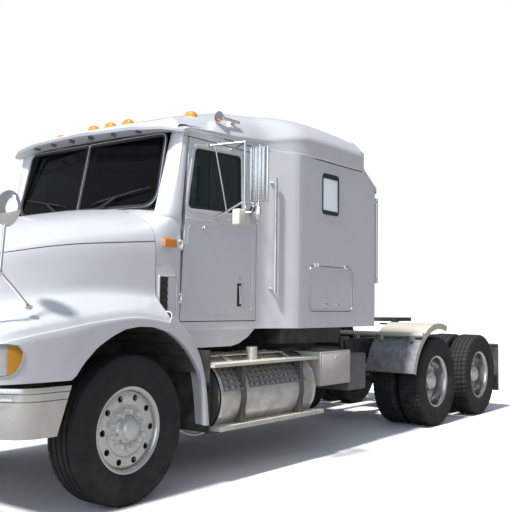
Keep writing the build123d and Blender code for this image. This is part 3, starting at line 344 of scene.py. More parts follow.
def add_pillow(name, x0, x1, y0, y1, z0, z1, edge, crown):
    """Crowned cushion: a box with soft edges whose faces swell."""
    piece = add_box(name, x0, x1, y0, y1, z0, z1)
    only(piece)
    bpy.ops.object.mode_set(mode="EDIT")
    bpy.ops.mesh.select_all(action="SELECT")
    bpy.ops.mesh.subdivide(number_cuts=7)
    bpy.ops.object.mode_set(mode="OBJECT")
    centre = Vector(((x0 + x1) / 2, (y0 + y1) / 2, (z0 + z1) / 2))
    half = Vector(((x1 - x0) / 2 - edge, (y1 - y0) / 2 - edge, (z1 - z0) / 2 - edge))
    for vertex in piece.data.vertices:
        away = vertex.co - centre
        core = Vector([max(-h, min(h, a)) for a, h in zip(away, half)])
        shell = away - core
        if shell.length > 1e-6:
            vertex.co = centre + core + shell.normalized() * min(shell.length, edge)
        away = vertex.co - centre
        part = [a / (h + edge) for a, h in zip(away, half)]
        swell = (1 - part[0] ** 2) * (1 - part[1] ** 2)
        if abs(part[2]) > 0.6:
            vertex.co.z += math.copysign(crown * swell, away.z)
        else:
            side = (1 - part[2] ** 2) * crown * 0.4
            vertex.co.x += part[0] * side
            vertex.co.y += part[1] * side
    use_modifier(piece, "SUBSURF", levels=1)
    return smooth(piece, 60)


def settled(piece, body, slot, finish, *nodes):
    """Move the piece to the stored origin, give it its finish and let it ride."""
    piece.data.transform(Matrix.Translation((STORED_SHIFT, 0, 0)))
    piece.data.materials.clear()
    piece.data.materials.append(finish)
    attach(piece, body)
    if nodes:
        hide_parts(*nodes)
    return piece


def cad_copy(node, name):
    """The node's mesh as a merged copy, in vehicle measure."""
    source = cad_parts[node]
    piece = source.copy()
    piece.data = source.data.copy()
    piece.name = name
    piece.data.name = name
    for key in list(piece.keys()):
        if key.startswith("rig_"):
            del piece[key]
    piece.parent = None
    bpy.context.scene.collection.objects.link(piece)
    piece.data.transform(Matrix.Translation((-STORED_SHIFT, 0, 0)))
    only(piece)
    bpy.ops.object.mode_set(mode="EDIT")
    bpy.ops.mesh.select_all(action="SELECT")
    bpy.ops.mesh.remove_doubles(threshold=0.00005)
    bpy.ops.mesh.dissolve_limited(angle_limit=math.radians(1.5))
    bpy.ops.object.mode_set(mode="OBJECT")
    return piece


def dressed(node, body, slot, finish, width, segments=2, angle=30):
    """The node with its edges rounded."""
    piece = cad_copy(node, node + "_piece")
    rounded(piece, width, segments, angle)
    smooth(piece, 40)
    use_modifier(piece, "WEIGHTED_NORMAL", keep_sharp=True, weight=100)
    return settled(piece, body, slot, finish, node)


def second_finish(piece, other, wanted):
    """Give the faces picked by wanted(centre, normal), in vehicle measure, another finish."""
    piece.data.materials.append(other)
    number = len(piece.data.materials) - 1
    back = Vector((STORED_SHIFT, 0, 0))
    for face in piece.data.polygons:
        if wanted(face.center - back, face.normal):
            face.material_index = number
    return piece


def on_wall(y):
    """Place for outlines drawn as (x, z) on a wall that looks to the left, standing out by the depth."""
    return lambda a, b, d: (a, y + d, b)


# Finishes

def new_group(name, inputs, outputs):
    group = bpy.data.node_groups.new(name, "ShaderNodeTree")
    for label, kind, value in inputs:
        socket = group.interface.new_socket(label, in_out="INPUT", socket_type=kind)
        socket.default_value = value
    for label, kind in outputs:
        group.interface.new_socket(label, in_out="OUTPUT", socket_type=kind)
    ends = group.nodes.new("NodeGroupInput"), group.nodes.new("NodeGroupOutput")
    return group, group.nodes, group.links, *ends


def mix_colour(nodes, links, factor, first, second):
    mix = nodes.new("ShaderNodeMix")
    mix.data_type = "RGBA"
    for socket, value in ((mix.inputs[0], factor), (mix.inputs[6], first), (mix.inputs[7], second)):
        if hasattr(value, "links"):
            links.new(value, socket)
        else:
            socket.default_value = value
    return mix.outputs[2]


def ramp(nodes, links, value, low, high):
    """Map low to high of a mask to 0 to 1, held within them."""
    scale = nodes.new("ShaderNodeMapRange")
    scale.inputs["From Min"].default_value = low
    scale.inputs["From Max"].default_value = high
    links.new(value, scale.inputs["Value"])
    return scale.outputs["Result"]


def build_dust_group():
    """Road dust: thicker low down and in patches. Gives a colour and a roughness."""
    inputs = (("Colour", "NodeSocketColor", (0.5, 0.5, 0.5, 1)),
              ("Dust Colour", "NodeSocketColor", (0.36, 0.33, 0.29, 1)),
              ("Amount", "NodeSocketFloat", 0.3), ("Top Height", "NodeSocketFloat", 1.2),
              ("Roughness", "NodeSocketFloat", 0.4), ("Patch Scale", "NodeSocketFloat", 9.0))
    outputs = (("Colour", "NodeSocketColor"), ("Roughness", "NodeSocketFloat"), ("Height", "NodeSocketFloat"))
    group, nodes, links, start, end = new_group("road_dust", inputs, outputs)
    place = nodes.new("ShaderNodeTexCoord").outputs["Object"]
    split = nodes.new("ShaderNodeSeparateXYZ")
    links.new(place, split.inputs[0])
    low = nodes.new("ShaderNodeMapRange")
    links.new(split.outputs["Z"], low.inputs["Value"])
    low.inputs["From Min"].default_value = 0.1
    links.new(start.outputs["Top Height"], low.inputs["From Max"])
    low.inputs["To Min"].default_value = 1.0
    low.inputs["To Max"].default_value = 0.12
    patches = nodes.new("ShaderNodeTexNoise")
    patches.inputs["Detail"].default_value = 5.0
    links.new(place, patches.inputs["Vector"])
    links.new(start.outputs["Patch Scale"], patches.inputs["Scale"])
    patch = ramp(nodes, links, patches.outputs["Fac"], 0.35, 0.7)
    product = nodes.new("ShaderNodeMath")
    product.operation = "MULTIPLY"
    links.new(patch, product.inputs[0])
    links.new(low.outputs["Result"], product.inputs[1])
    amount = nodes.new("ShaderNodeMath")
    amount.operation = "MULTIPLY"
    links.new(product.outputs[0], amount.inputs[0])
    links.new(start.outputs["Amount"], amount.inputs[1])
    colour = mix_colour(nodes, links, amount.outputs[0], start.outputs["Colour"],
                        start.outputs["Dust Colour"])
    links.new(colour, end.inputs["Colour"])
    rough = nodes.new("ShaderNodeMath")
    rough.operation = "MULTIPLY_ADD"
    rough.inputs[1].default_value = 0.5
    links.new(amount.outputs[0], rough.inputs[0])
    links.new(start.outputs["Roughness"], rough.inputs[2])
    links.new(rough.outputs[0], end.inputs["Roughness"])
    links.new(patches.outputs["Fac"], end.inputs["Height"])
    return group


def build_grain_group():
    """Fine surface grain as a height, and a slow change of shade."""
    inputs = (("Colour", "NodeSocketColor", (0.5, 0.5, 0.5, 1)),
              ("Other Colour", "NodeSocketColor", (0.4, 0.4, 0.4, 1)),
              ("Fine Scale", "NodeSocketFloat", 400.0), ("Slow Scale", "NodeSocketFloat", 3.0))
    outputs = (("Colour", "NodeSocketColor"), ("Height", "NodeSocketFloat"), ("Mask", "NodeSocketFloat"))
    group, nodes, links, start, end = new_group("surface_grain", inputs, outputs)
    place = nodes.new("ShaderNodeTexCoord").outputs["Object"]
    fine = nodes.new("ShaderNodeTexNoise")
    fine.inputs["Detail"].default_value = 2.0
    links.new(place, fine.inputs["Vector"])
    links.new(start.outputs["Fine Scale"], fine.inputs["Scale"])
    slow = nodes.new("ShaderNodeTexNoise")
    slow.inputs["Detail"].default_value = 4.0
    links.new(place, slow.inputs["Vector"])
    links.new(start.outputs["Slow Scale"], slow.inputs["Scale"])
    mask = ramp(nodes, links, slow.outputs["Fac"], 0.35, 0.65)
    links.new(mix_colour(nodes, links, mask, start.outputs["Colour"], start.outputs["Other Colour"]),
              end.inputs["Colour"])
    links.new(fine.outputs["Fac"], end.inputs["Height"])
    links.new(mask, end.inputs["Mask"])
    return group


DUST = build_dust_group()
GRAIN = build_grain_group()


def finish(name, colour, other, roughness, metallic=0.0, dust=0.0, dust_top=1.2, fine=400.0, slow=3.0,
           bump=0.05, coat=0.0, coat_roughness=0.06, spread=0.08, sheen=0.0):
    """Material: two shades, grain, dust and a roughness that wanders a little."""
    material = bpy.data.materials.new(name)
    material.use_nodes = True
    nodes, links = material.node_tree.nodes, material.node_tree.links
    shader = nodes["Principled BSDF"]
    grain = nodes.new("ShaderNodeGroup")
    grain.node_tree = GRAIN
    grain.inputs["Colour"].default_value = (*colour, 1)
    grain.inputs["Other Colour"].default_value = (*other, 1)
    grain.inputs["Fine Scale"].default_value = fine
    grain.inputs["Slow Scale"].default_value = slow
    dusty = nodes.new("ShaderNodeGroup")
    dusty.node_tree = DUST
    dusty.inputs["Amount"].default_value = dust
    dusty.inputs["Top Height"].default_value = dust_top
    links.new(grain.outputs["Colour"], dusty.inputs["Colour"])
    wander = nodes.new("ShaderNodeMapRange")
    wander.inputs["To Min"].default_value = max(roughness - spread, 0.02)
    wander.inputs["To Max"].default_value = roughness + spread
    links.new(grain.outputs["Mask"], wander.inputs["Value"])
    links.new(wander.outputs["Result"], dusty.inputs["Roughness"])
    links.new(dusty.outputs["Colour"], shader.inputs["Base Color"])
    links.new(dusty.outputs["Roughness"], shader.inputs["Roughness"])
    shader.inputs["Metallic"].default_value = metallic
    shader.inputs["Coat Weight"].default_value = coat
    shader.inputs["Coat Roughness"].default_value = coat_roughness
    if sheen:
        shader.inputs["Sheen Weight"].default_value = sheen
    if bump:
        height = nodes.new("ShaderNodeBump")
        height.inputs["Strength"].default_value = bump
        height.inputs["Distance"].default_value = 0.001
        links.new(grain.outputs["Height"], height.inputs["Height"])
        links.new(height.outputs["Normal"], shader.inputs["Normal"])
    return material


def glass_finish(name, tint, roughness=0.02, transmission=0.9):
    """Glass with faint smears."""
    material = finish(name, tint, tuple(c * 0.9 for c in tint), roughness, bump=0.0, spread=0.012, slow=5.0)
    shader = material.node_tree.nodes["Principled BSDF"]
    shader.inputs["Transmission Weight"].default_value = transmission
    shader.inputs["IOR"].default_value = 1.17
    return material


paint = finish("silver_paint", (0.74, 0.755, 0.785), (0.70, 0.715, 0.755), 0.38, metallic=0.28, coat=0.45,
               coat_roughness=0.06, fine=900.0, slow=1.6, bump=0.02, dust=0.22, dust_top=1.7, spread=0.03)
chrome = finish("chrome", (0.80, 0.80, 0.79), (0.74, 0.74, 0.73), 0.10, metallic=1.0, fine=300.0, bump=0.01,
                dust=0.25, dust_top=1.0, spread=0.04)
polished = finish("polished_alloy", (0.78, 0.78, 0.77), (0.70, 0.70, 0.69), 0.22, metallic=1.0, fine=500.0,
                  bump=0.03, dust=0.30, dust_top=1.1, spread=0.06)
tank_alloy = finish("tank_alloy", (0.76, 0.755, 0.73), (0.50, 0.495, 0.47), 0.34, metallic=0.85, fine=160.0,
                    slow=5.5, bump=0.08, dust=0.40, dust_top=1.3, spread=0.10)
tread_plate = finish("cream_plate", (0.76, 0.73, 0.65), (0.68, 0.65, 0.56), 0.5, metallic=0.1, fine=240.0,
                     bump=0.08, dust=0.35, dust_top=1.4)
fender_sheet = finish("fender_sheet", (0.60, 0.575, 0.48), (0.55, 0.52, 0.44), 0.42, metallic=0.05,
                      fine=240.0, bump=0.04, dust=0.3, dust_top=1.3)
frame_paint = finish("frame_paint", (0.030, 0.030, 0.033), (0.045, 0.044, 0.043), 0.55, fine=200.0, bump=0.15,
                     dust=0.55, dust_top=1.4)
cast = finish("cast_iron", (0.085, 0.085, 0.085), (0.06, 0.058, 0.055), 0.62, metallic=0.4, fine=180.0,
              bump=0.4, dust=0.5, dust_top=1.4)
tyre_rubber = finish("tyre_rubber", (0.011, 0.011, 0.012), (0.016, 0.0155, 0.015), 0.74, fine=350.0, bump=0.2,
                     dust=0.08, dust_top=1.1, slow=6.0)
flap_rubber = finish("flap_rubber", (0.022, 0.022, 0.022), (0.032, 0.031, 0.03), 0.75, fine=150.0, bump=0.3,
                     dust=0.5, dust_top=1.2)
# Near-black for thin lines of painted shade in the roof seam and the hood groove.
painted_line_shade = finish("painted_line_shade", (0.018, 0.018, 0.019), (0.024, 0.024, 0.024), 0.55, fine=300.0, bump=0.1)
trim = finish("moulded_trim", (0.085, 0.085, 0.09), (0.075, 0.075, 0.08), 0.6, fine=700.0, bump=0.3)
cloth = finish("seat_cloth", (0.14, 0.15, 0.18), (0.11, 0.12, 0.15), 0.9, fine=900.0, bump=0.5, sheen=0.3)
glass = glass_finish("tinted_glass", (0.05, 0.065, 0.06), 0.02, 0.92)
door_tint = glass_finish("door_glass", (0.16, 0.23, 0.23), 0.02, 0.86)
door_tint.node_tree.nodes["Principled BSDF"].inputs["IOR"].default_value = 1.3
clear_lens = glass_finish("clear_lens", (0.86, 0.87, 0.88), 0.05, 0.7)
amber_lens = finish("amber_lens", (0.85, 0.30, 0.03), (0.80, 0.25, 0.02), 0.18, fine=120.0, bump=0.2,
                    coat=0.6)
red_lens = finish("red_lens", (0.52, 0.02, 0.02), (0.45, 0.02, 0.02), 0.2, fine=120.0, bump=0.2, coat=0.6)
amber_glass = glass_finish("amber_glass", (0.95, 0.50, 0.08), 0.08, 0.55)
bumper_metal = finish("bumper_metal", (0.78, 0.77, 0.73), (0.70, 0.69, 0.65), 0.24, metallic=0.82, fine=300.0,
                      slow=2.5, bump=0.004, dust=0.35, dust_top=1.1, spread=0.06)
# Finish of the front hub cap and nut covers: chrome caps whose whiteness is painted glint.
caps_and_painted_glint = finish("caps_and_painted_glint", (0.84, 0.84, 0.83), (0.76, 0.76, 0.75), 0.30, metallic=0.45, fine=300.0,
                     bump=0.02, dust=0.12, dust_top=1.0, spread=0.05)
blind_cloth = finish("blind_cloth", (0.40, 0.42, 0.42), (0.34, 0.36, 0.36), 0.9, fine=700.0, bump=0.2)
# Pale pane with a faint blue glow: the glow is painted light standing in for sky light coming through the
# pane, and the very pale colour is partly its own, partly painted light.
frosted_pane = finish("frosted_pane", (0.90, 0.95, 0.98), (0.82, 0.89, 0.94), 0.32, coat=0.5,
                      coat_roughness=0.1, fine=500.0, slow=6.0, bump=0.04, dust=0.2, dust_top=1.5)
painted_sky_glow = frosted_pane.node_tree.nodes["Principled BSDF"]
painted_sky_glow.inputs["Emission Color"].default_value = (0.72, 0.86, 1.0, 1)
painted_sky_glow.inputs["Emission Strength"].default_value = 0.22
# Dark grey for straps; also painted shade on the bumper's pressed lines and under the rear fenders.
strap_and_shade_grey = finish("strap_and_shade_grey", (0.085, 0.085, 0.083), (0.14, 0.135, 0.125), 0.6, metallic=0.3, fine=220.0,
                    bump=0.12, dust=0.4, dust_top=1.3)
# Dark finish for painted shade on the rear tool box and under the boxes.
box_painted_shade = finish("box_painted_shade", (0.10, 0.108, 0.115), (0.15, 0.155, 0.16), 0.6, metallic=0.2, fine=220.0,
                  bump=0.12, dust=0.5, dust_top=1.4)
box_top = finish("box_top", (0.40, 0.44, 0.48), (0.30, 0.33, 0.36), 0.45, metallic=0.3, fine=240.0, bump=0.08,
                 dust=0.35, dust_top=1.4)
box_cream = finish("box_cream", (0.62, 0.58, 0.53), (0.52, 0.49, 0.45), 0.55, fine=240.0, bump=0.08,
                   dust=0.35, dust_top=1.4)
# Dark colour with streaks for the forward faces low on the rear fenders: painted shade.
painted_fender_shade = finish("fender_shade_sheet", (0.17, 0.185, 0.20), (0.30, 0.31, 0.32), 0.5, metallic=0.2, fine=160.0,
                  slow=14.0, bump=0.1, dust=0.3, dust_top=1.3)
# Near-black rubber; also painted shade in the bumper's slot.
black_rubber_and_shade = finish("black_rubber_and_shade", (0.012, 0.012, 0.013), (0.020, 0.020, 0.020), 0.45, fine=260.0, bump=0.1)
lining = finish("cab_lining", (0.050, 0.050, 0.054), (0.040, 0.040, 0.043), 0.9, fine=500.0, bump=0.4)
worn_steel = finish("worn_steel", (0.30, 0.30, 0.30), (0.20, 0.195, 0.19), 0.5, metallic=0.7, fine=180.0,
                    bump=0.2, dust=0.5, dust_top=1.4)
mirror_face = finish("mirror_face", (0.86, 0.87, 0.88), (0.82, 0.83, 0.84), 0.04, metallic=1.0, bump=0.0,
                     spread=0.01)

# Hood and front fenders, one smooth body. Half sections from the centre line outwards, as (y, z):
# centre, inner top, outer top, shoulder, groove, side, junction with the fender, fender top
HOOD_ROWS = (
    (-0.335, ((0, 2.150), (0.40, 2.135), (0.74, 2.085), (0.95, 1.985), (1.02, 1.860), (1.03, 1.620),
              (1.035, 1.470), (1.080, 1.405))),
    (0.0, ((0, 2.085), (0.38, 2.070), (0.70, 2.020), (0.90, 1.930), (0.975, 1.830), (0.99, 1.620),
           (1.0, 1.490), (1.050, 1.430))),
    (0.35, ((0, 2.005), (0.36, 1.990), (0.64, 1.945), (0.83, 1.870), (0.905, 1.795), (0.94, 1.600),
            (0.96, 1.480), (1.020, 1.425))),
    (0.65, ((0, 1.920), (0.33, 1.905), (0.57, 1.860), (0.75, 1.800), (0.825, 1.745), (0.87, 1.570),
            (0.91, 1.450), (0.980, 1.395))),
    (0.95, ((0, 1.810), (0.30, 1.795), (0.48, 1.760), (0.64, 1.720), (0.72, 1.675), (0.79, 1.500),
            (0.84, 1.400), (0.920, 1.340))),
    (1.10, ((0, 1.720), (0.28, 1.705), (0.43, 1.675), (0.56, 1.630), (0.64, 1.585), (0.71, 1.440),
            (0.77, 1.350), (0.850, 1.290))),
    (1.175, ((0, 1.640), (0.27, 1.630), (0.40, 1.600), (0.52, 1.555), (0.59, 1.510), (0.65, 1.390),
             (0.70, 1.310), (0.780, 1.250))),
)
# Crease of the fender and its side below: x, y, height of the crease
CREASE = ((-0.335, 1.214, 1.262), (0.0, 1.216, 1.300), (0.35, 1.214, 1.274), (0.65, 1.203, 1.228),
          (0.95, 1.170, 1.176), (1.10, 1.105, 1.135), (1.175, 1.025, 1.105))
# Wheel arch, as (x, z)
ARCH = ((0.575, 0.905), (0.545, 0.925), (0.486, 1.003), (0.372, 1.106), (0.252, 1.172), (0.127, 1.221),
        (0.0, 1.236), (-0.142, 1.231), (-0.286, 1.193), (-0.391, 1.140), (-0.50, 1.055), (-0.597, 0.947),
        (-0.663, 0.838), (-0.69, 0.731), (-0.705, 0.60), (-0.714, 0.478))
# Outer line of the fender's rear leg, one point for each arch point from x -0.286 on
LEG = ((-0.335, 1.345), (-0.440, 1.265), (-0.545, 1.172), (-0.645, 1.045), (-0.708, 0.900), (-0.745, 0.765),
       (-0.768, 0.62), (-0.785, 0.47))
ARCH_FRONT_X = 0.575
FENDER_BOTTOM = 0.905
# The fender's lower edge rises from here to the nose
NOSE_START_X = 1.06
NOSE_REACH = 0.115
NOSE_LOW_FRONT = 0.962


def line_at(points, x):
    """Height of a line of (x, z) points at x."""
    ordered = sorted(points)
    if x <= ordered[0][0]:
        return ordered[0][1]
    for (x0, z0), (x1, z1) in zip(ordered, ordered[1:]):
        if x <= x1:
            return z0 + (z1 - z0) * (x - x0) / (x1 - x0)
    return ordered[-1][1]


def fender_low(x):
    """Lower edge of the fender's side at x: the wheel arch, then level, then rising at the nose."""
    if x < ARCH_FRONT_X:
        return line_at(ARCH[:9], x)
    if x < NOSE_START_X:
        return FENDER_BOTTOM
    return FENDER_BOTTOM + (NOSE_LOW_FRONT - FENDER_BOTTOM) * (x - NOSE_START_X) / NOSE_REACH


LAMP_OUTLINE = ((1.30, 1.138), (1.02, 1.138), (0.955, 1.128), (0.928, 1.092), (0.934, 1.045), (0.962, 0.990),
                (1.01, 0.960), (1.08, 0.952), (1.30, 0.952))
LAMP_INNER_Y = 0.872
LAMP_SPLIT_X = 1.012
LAMP_MIDDLE_Z = 1.045
# The nose closes to a flat front: its half width, its top, and how far along a row its upper corner comes
NOSE_HALF = 0.40
NOSE_TOP = 1.50
NOSE_CORNER = 0.42


def hood_sheet():
    """The outer face of hood and fenders, with the flange round the wheel arch turned in."""
    half_rows = []
    for (x, section), (_, crease_y, crease_z) in zip(HOOD_ROWS, CREASE):
        points = [Vector((x, y, z)) for y, z in section]
        points.append(Vector((x, crease_y - 0.052, crease_z + 0.064)))
        points.append(Vector((x, crease_y - 0.019, crease_z + 0.026)))
        half_rows.append(points)
    fine = grid_between(half_rows, 8, 4)
    rows = []
    for row, (x, crease_y, crease_z) in zip(fine, curve_between(CREASE, 8)):
        low = fender_low(x)
        ledge = [(crease_y - 0.0135, crease_z + 0.004), (crease_y - 0.0115, crease_z + 0.001),
                 (crease_y - 0.001, crease_z - 0.001), (crease_y + 0.001, crease_z - 0.004)]
        side = []
        steps = 7
        for step in range(1, steps + 1):
            side.append((crease_y + 0.003, crease_z - 0.004 + (low - crease_z + 0.004) * step / steps))
        flange = [(crease_y + 0.001, low - 0.001), (crease_y - 0.022, low + 0.001)]
        rows.append(row + [Vector((x, y, z)) for y, z in ledge + side + flange])
    last = rows[-1]
    count = len(last)
    for blend, x in ((0.25, 1.190), (0.6, 1.1965), (1.0, 1.198)):
        front = []
        for number, point in enumerate(last):
            along = number / (count - 1)
            if along < NOSE_CORNER:
                goal = Vector((x, NOSE_HALF * along / NOSE_CORNER, NOSE_TOP))
            else:
                drop = (NOSE_TOP - NOSE_LOW_FRONT) * (along - NOSE_CORNER) / (1 - NOSE_CORNER)
                goal = Vector((x, NOSE_HALF, NOSE_TOP - drop))
            front.append(Vector((x, point.y + (goal.y - point.y) * blend,
                                 point.z + (goal.z - point.z) * blend)))
        rows.append(front)
    full = [[Vector((p.x, -p.y, p.z)) for p in reversed(row[1:])] + row for row in rows]
    return outwards(add_skin("hood_panel", full))


def leg_strip():
    """Rear leg of the fender behind the seam, one sheet round its outer edge."""
    rows = []
    arch_line = curve_between([(x, 0, z) for x, z in ARCH[8:]], 4)
    outer_line = curve_between([(x, 0, z) for x, z in LEG], 4)
    for a, b in zip(arch_line, outer_line):
        toward = (a - b).normalized()
        rows.append([Vector((b.x, 1.060, b.z)) + toward * 0.004, Vector((b.x, 1.100, b.z)),
                     Vector((b.x, 1.160, b.z)) + toward * 0.002, Vector((b.x, 1.192, b.z)) + toward * 0.007,
                     Vector((b.x, 1.208, b.z)) + toward * 0.016, Vector((b.x, 1.216, b.z)) + toward * 0.030,
                     Vector((a.x, 1.218, a.z)) - toward * 0.012, Vector((a.x, 1.216, a.z)) - toward * 0.002,
                     Vector((a.x, 1.205, a.z)) + toward * 0.001, Vector((a.x, 1.180, a.z)) + toward * 0.001])
    return outwards(add_skin("fender_leg", rows), (-0.2, 1.0, 0.7))


def lamp_cutter(name, extra):
    outline = rounded_outline(grown(list(LAMP_OUTLINE), extra), 0.03, 4)
    return add_outline(name, outline, "y", LAMP_INNER_Y - extra, 1.35)


def cut_with(piece, cutter, operation="DIFFERENCE"):
    use_modifier(piece, "BOOLEAN", object=cutter, operation=operation, solver="MANIFOLD")
    return piece


sheet = hood_sheet()
lens = copy_of(sheet, "headlamp_lens")
bezel = copy_of(sheet, "headlamp_bezel")
lamp_back = copy_of(sheet, "headlamp_back")
use_modifier(sheet, "SOLIDIFY", thickness=0.006, offset=-1.0)
for side, sign in SIDES:
    cutter = lamp_cutter("lamp_hole", 0.002)
    if sign < 0:
        mirrored(cutter)
    cut_with(sheet, cutter)
    bpy.data.objects.remove(cutter)

legs = both_sides(leg_strip())
use_modifier(legs, "SOLIDIFY", thickness=0.006, offset=-1.0)
smooth(sheet, 38)
smooth(legs, 38)
hood = joined("hood_body", [sheet, legs])
settled(hood, "hood", "paint", paint, "hood_shell", "front_fenders")


def lamp_parts():
    """Lens and bezel take the hood's own curve; reflector bowls sit behind."""
    use_modifier(bezel, "SOLIDIFY", thickness=0.009, offset=0.15)
    outer = lamp_cutter("bezel_outer", 0.009)
    cut_with(bezel, outer, "INTERSECT")
    inner = lamp_cutter("bezel_inner", 0.001)
    cut_with(bezel, inner)
    for cutter in (outer, inner):
        bpy.data.objects.remove(cutter)
    lens.data.transform(Matrix.Translation((-0.0025, -0.003, 0)))
    use_modifier(lens, "SOLIDIFY", thickness=0.004, offset=-1.0)
    inside = lamp_cutter("lens_cut", -0.0005)
    cut_with(lens, inside, "INTERSECT")
    bpy.data.objects.remove(inside)
    amber = copy_of(lens, "headlamp_amber")
    split = add_box("split", 0.5, LAMP_SPLIT_X, 0.8, 1.4, 0.9, 1.2)
    cut_with(amber, split, "INTERSECT")
    cut_with(lens, split)
    bpy.data.objects.remove(split)
    lamp_back.data.transform(Matrix.Translation((-0.030, -0.045, 0)))
    use_modifier(lamp_back, "SOLIDIFY", thickness=0.006, offset=-1.0)
    shell = lamp_cutter("back_cut", 0.002)
    shell.data.transform(Matrix.Translation((-0.012, -0.05, 0)))
    cut_with(lamp_back, shell, "INTERSECT")
    bpy.data.objects.remove(shell)
    bowls = []
    for x, y, radius, way in ((1.095, 0.985, 0.070, (0.75, 0.62, 0.0)),
                              (0.985, 1.110, 0.052, (0.35, 0.93, 0.0))):
        profile = [(0.016, -0.040), (0.035, -0.034), (0.055, -0.018), (0.068, 0.0), (0.071, 0.002),
                   (0.071, -0.002)]
        bowl = add_turned("bowl", [(r * radius / 0.07, d) for r, d in profile], (0, 0, 0), 32)
        bulb = add_ball("bulb", (0, -0.022, 0), radius * 0.2, 16, 8)
        part = joined("bowl", [bowl, bulb])
        turn = Vector(way).to_track_quat("Y", "Z").to_matrix().to_4x4()
        part.data.transform(Matrix.Translation((x, y, LAMP_MIDDLE_Z)) @ turn)
        bowls.append(part)
    return joined("headlamp_reflector", [lamp_back, *bowls]), amber


reflector, amber = lamp_parts()
for piece in (bezel, lens, amber, reflector):
    smooth(piece, 38)
settled(both_sides(lens), "hood", "lens_clear", clear_lens, "headlamps")
settled(both_sides(amber), "hood", "lens_amber", amber_glass)
settled(both_sides(bezel), "hood", "chrome", chrome)
settled(both_sides(reflector), "hood", "chrome", mirror_face)


def wheel_liner():
    """Dark liner inside the wheel arch, with its inner wall."""
    reach = 0.716
    bow = [(reach * math.cos(math.radians(angle)), WHEEL_Z + reach * math.sin(math.radians(angle)))
           for angle in range(34, 152, 4)]
    rows = [[Vector((x, y, z)) for y in (0.514, 0.70, 0.90, 1.05, 1.190)] for x, z in bow]
    skin = outwards(add_skin("liner_skin", rows), (0, 0.9, 0.5))
    use_modifier(skin, "SOLIDIFY", thickness=0.005, offset=1.0)
    wall = add_outline("liner_wall", bow, "y", 0.512, 0.518)
    ribs = []
    for angle in range(42, 150, 12):
        x, z = reach * math.cos(math.radians(angle)), reach * math.sin(math.radians(angle))
        rib = add_box("rib", -0.006, 0.006, 0.55, 1.16, -0.005, 0.005)
        lean = Matrix.Rotation(math.radians(90 - angle), 4, "Y")
        rib.data.transform(Matrix.Translation((x * 0.993, 0, WHEEL_Z + z * 0.993)) @ lean)
        ribs.append(rib)
    return smooth(joined("fender_liner", [skin, wall, *ribs]), 40)


settled(both_sides(wheel_liner()), "hood", "trim", flap_rubber)


# Tyres

def tyre(name, centre, blocks):
    """Tyre with grooves round the tread; blocks adds cross grooves for a drive tyre."""
    # radius, distance from the middle plane, and whether cross grooves cut it (0 no, 1 rib, 2 shoulder)
    side = [(0.2868, -0.106, 0), (0.300, -0.112, 0), (0.3165, -0.128, 0), (0.340, -0.1365, 0),
            (0.372, -0.1395, 0), (0.400, -0.140, 0), (0.430, -0.1385, 0), (0.452, -0.136, 0),
            (0.456, -0.1375, 0), (0.470, -0.1355, 0), (0.486, -0.1335, 2), (0.503, -0.1285, 2),
            (0.5135, -0.120, 2)]
    grooves = [-0.078, -0.027, 0.027, 0.078]
    tread = [(0.5180, -0.108, 2)]
    for centre_line in grooves:
        tread += [(0.5195, centre_line - 0.0075, 1), (0.5055, centre_line - 0.0045, 0),
                  (0.5055, centre_line + 0.0045, 0), (0.5195, centre_line + 0.0075, 1)]
    tread.append((0.5180, 0.108, 2))
    profile = side + tread + [(r, -d, mark) for r, d, mark in reversed(side)]
    pitches = 54
    steps = pitches * 4
    rows = []
    for step in range(steps + 1):
        turn = 2 * math.pi * step / steps
        in_gap = step % 4 == 0
        row = []
        for radius, distance, mark in profile:
            skew = 0.0
            cut = 0.0
            if blocks and mark and in_gap:
                cut = 0.009 if mark == 1 else 0.011
            elif not blocks and mark == 2 and in_gap:
                cut = 0.004
            if blocks:
                skew = distance * 0.25
            angle = turn + skew
            reach = radius - cut
            row.append(Vector((centre[0] + reach * math.cos(angle), centre[1] + distance,
                               centre[2] + reach * math.sin(angle))))
        rows.append(row)
    piece = add_skin(name, rows, closed=True)
    return smooth(piece, 30)


front_tyre = tyre("front_tyre_piece_left", (0, FRONT_WHEEL_Y, WHEEL_Z), False)
front_tyre_right = across(front_tyre, "front_tyre_piece_right")
settled(front_tyre, "front_wheel_left", "tyre", tyre_rubber, "front_tyre_left")
settled(front_tyre_right, "front_wheel_right", "tyre", tyre_rubber, "front_tyre_right")
outer_tyre = tyre("drive_tyre", (0, DRIVE_OUTER_Y, WHEEL_Z), True)
inner_tyre = copy_of(outer_tyre, "drive_tyre_inner", (0, DRIVE_INNER_Y - DRIVE_OUTER_Y, 0))
pair = joined("drive_tyre_pair", [outer_tyre, inner_tyre])
for axle, axle_x in (("1", DRIVE_1_X), ("2", DRIVE_2_X)):
    for side, sign in SIDES:
        rubber = copy_of(pair, f"drive_tyres_{axle}_{side}_piece", (axle_x, 0, 0))
        if sign < 0:
            mirrored(rubber)
        settled(rubber, f"drive_wheel_{axle}_{side}", "tyre", tyre_rubber, f"drive_tyres_{axle}_{side}")
bpy.data.objects.remove(pair)


# Wheels

def wheel_nuts(name, centre, y, ring_radius, count, radius, height):
    nuts = []
    for number in range(count):
        angle = 2 * math.pi * (number + 0.5) / count
        x = centre[0] + ring_radius * math.cos(angle)
        z = centre[2] + ring_radius * math.sin(angle)
        profile = [(0.0, y + height), (radius * 0.45, y + height - 0.001), (radius * 0.8, y + height - 0.006),
                   (radius * 0.92, y + height * 0.55), (radius, y + height * 0.5), (radius * 1.02, y + 0.004),
                   (radius * 1.3, y + 0.003), (radius * 1.3, y - 0.002)]
        nuts.append(add_turned(f"{name}_{number}", profile, (x, 0, z), steps=12))
    return nuts


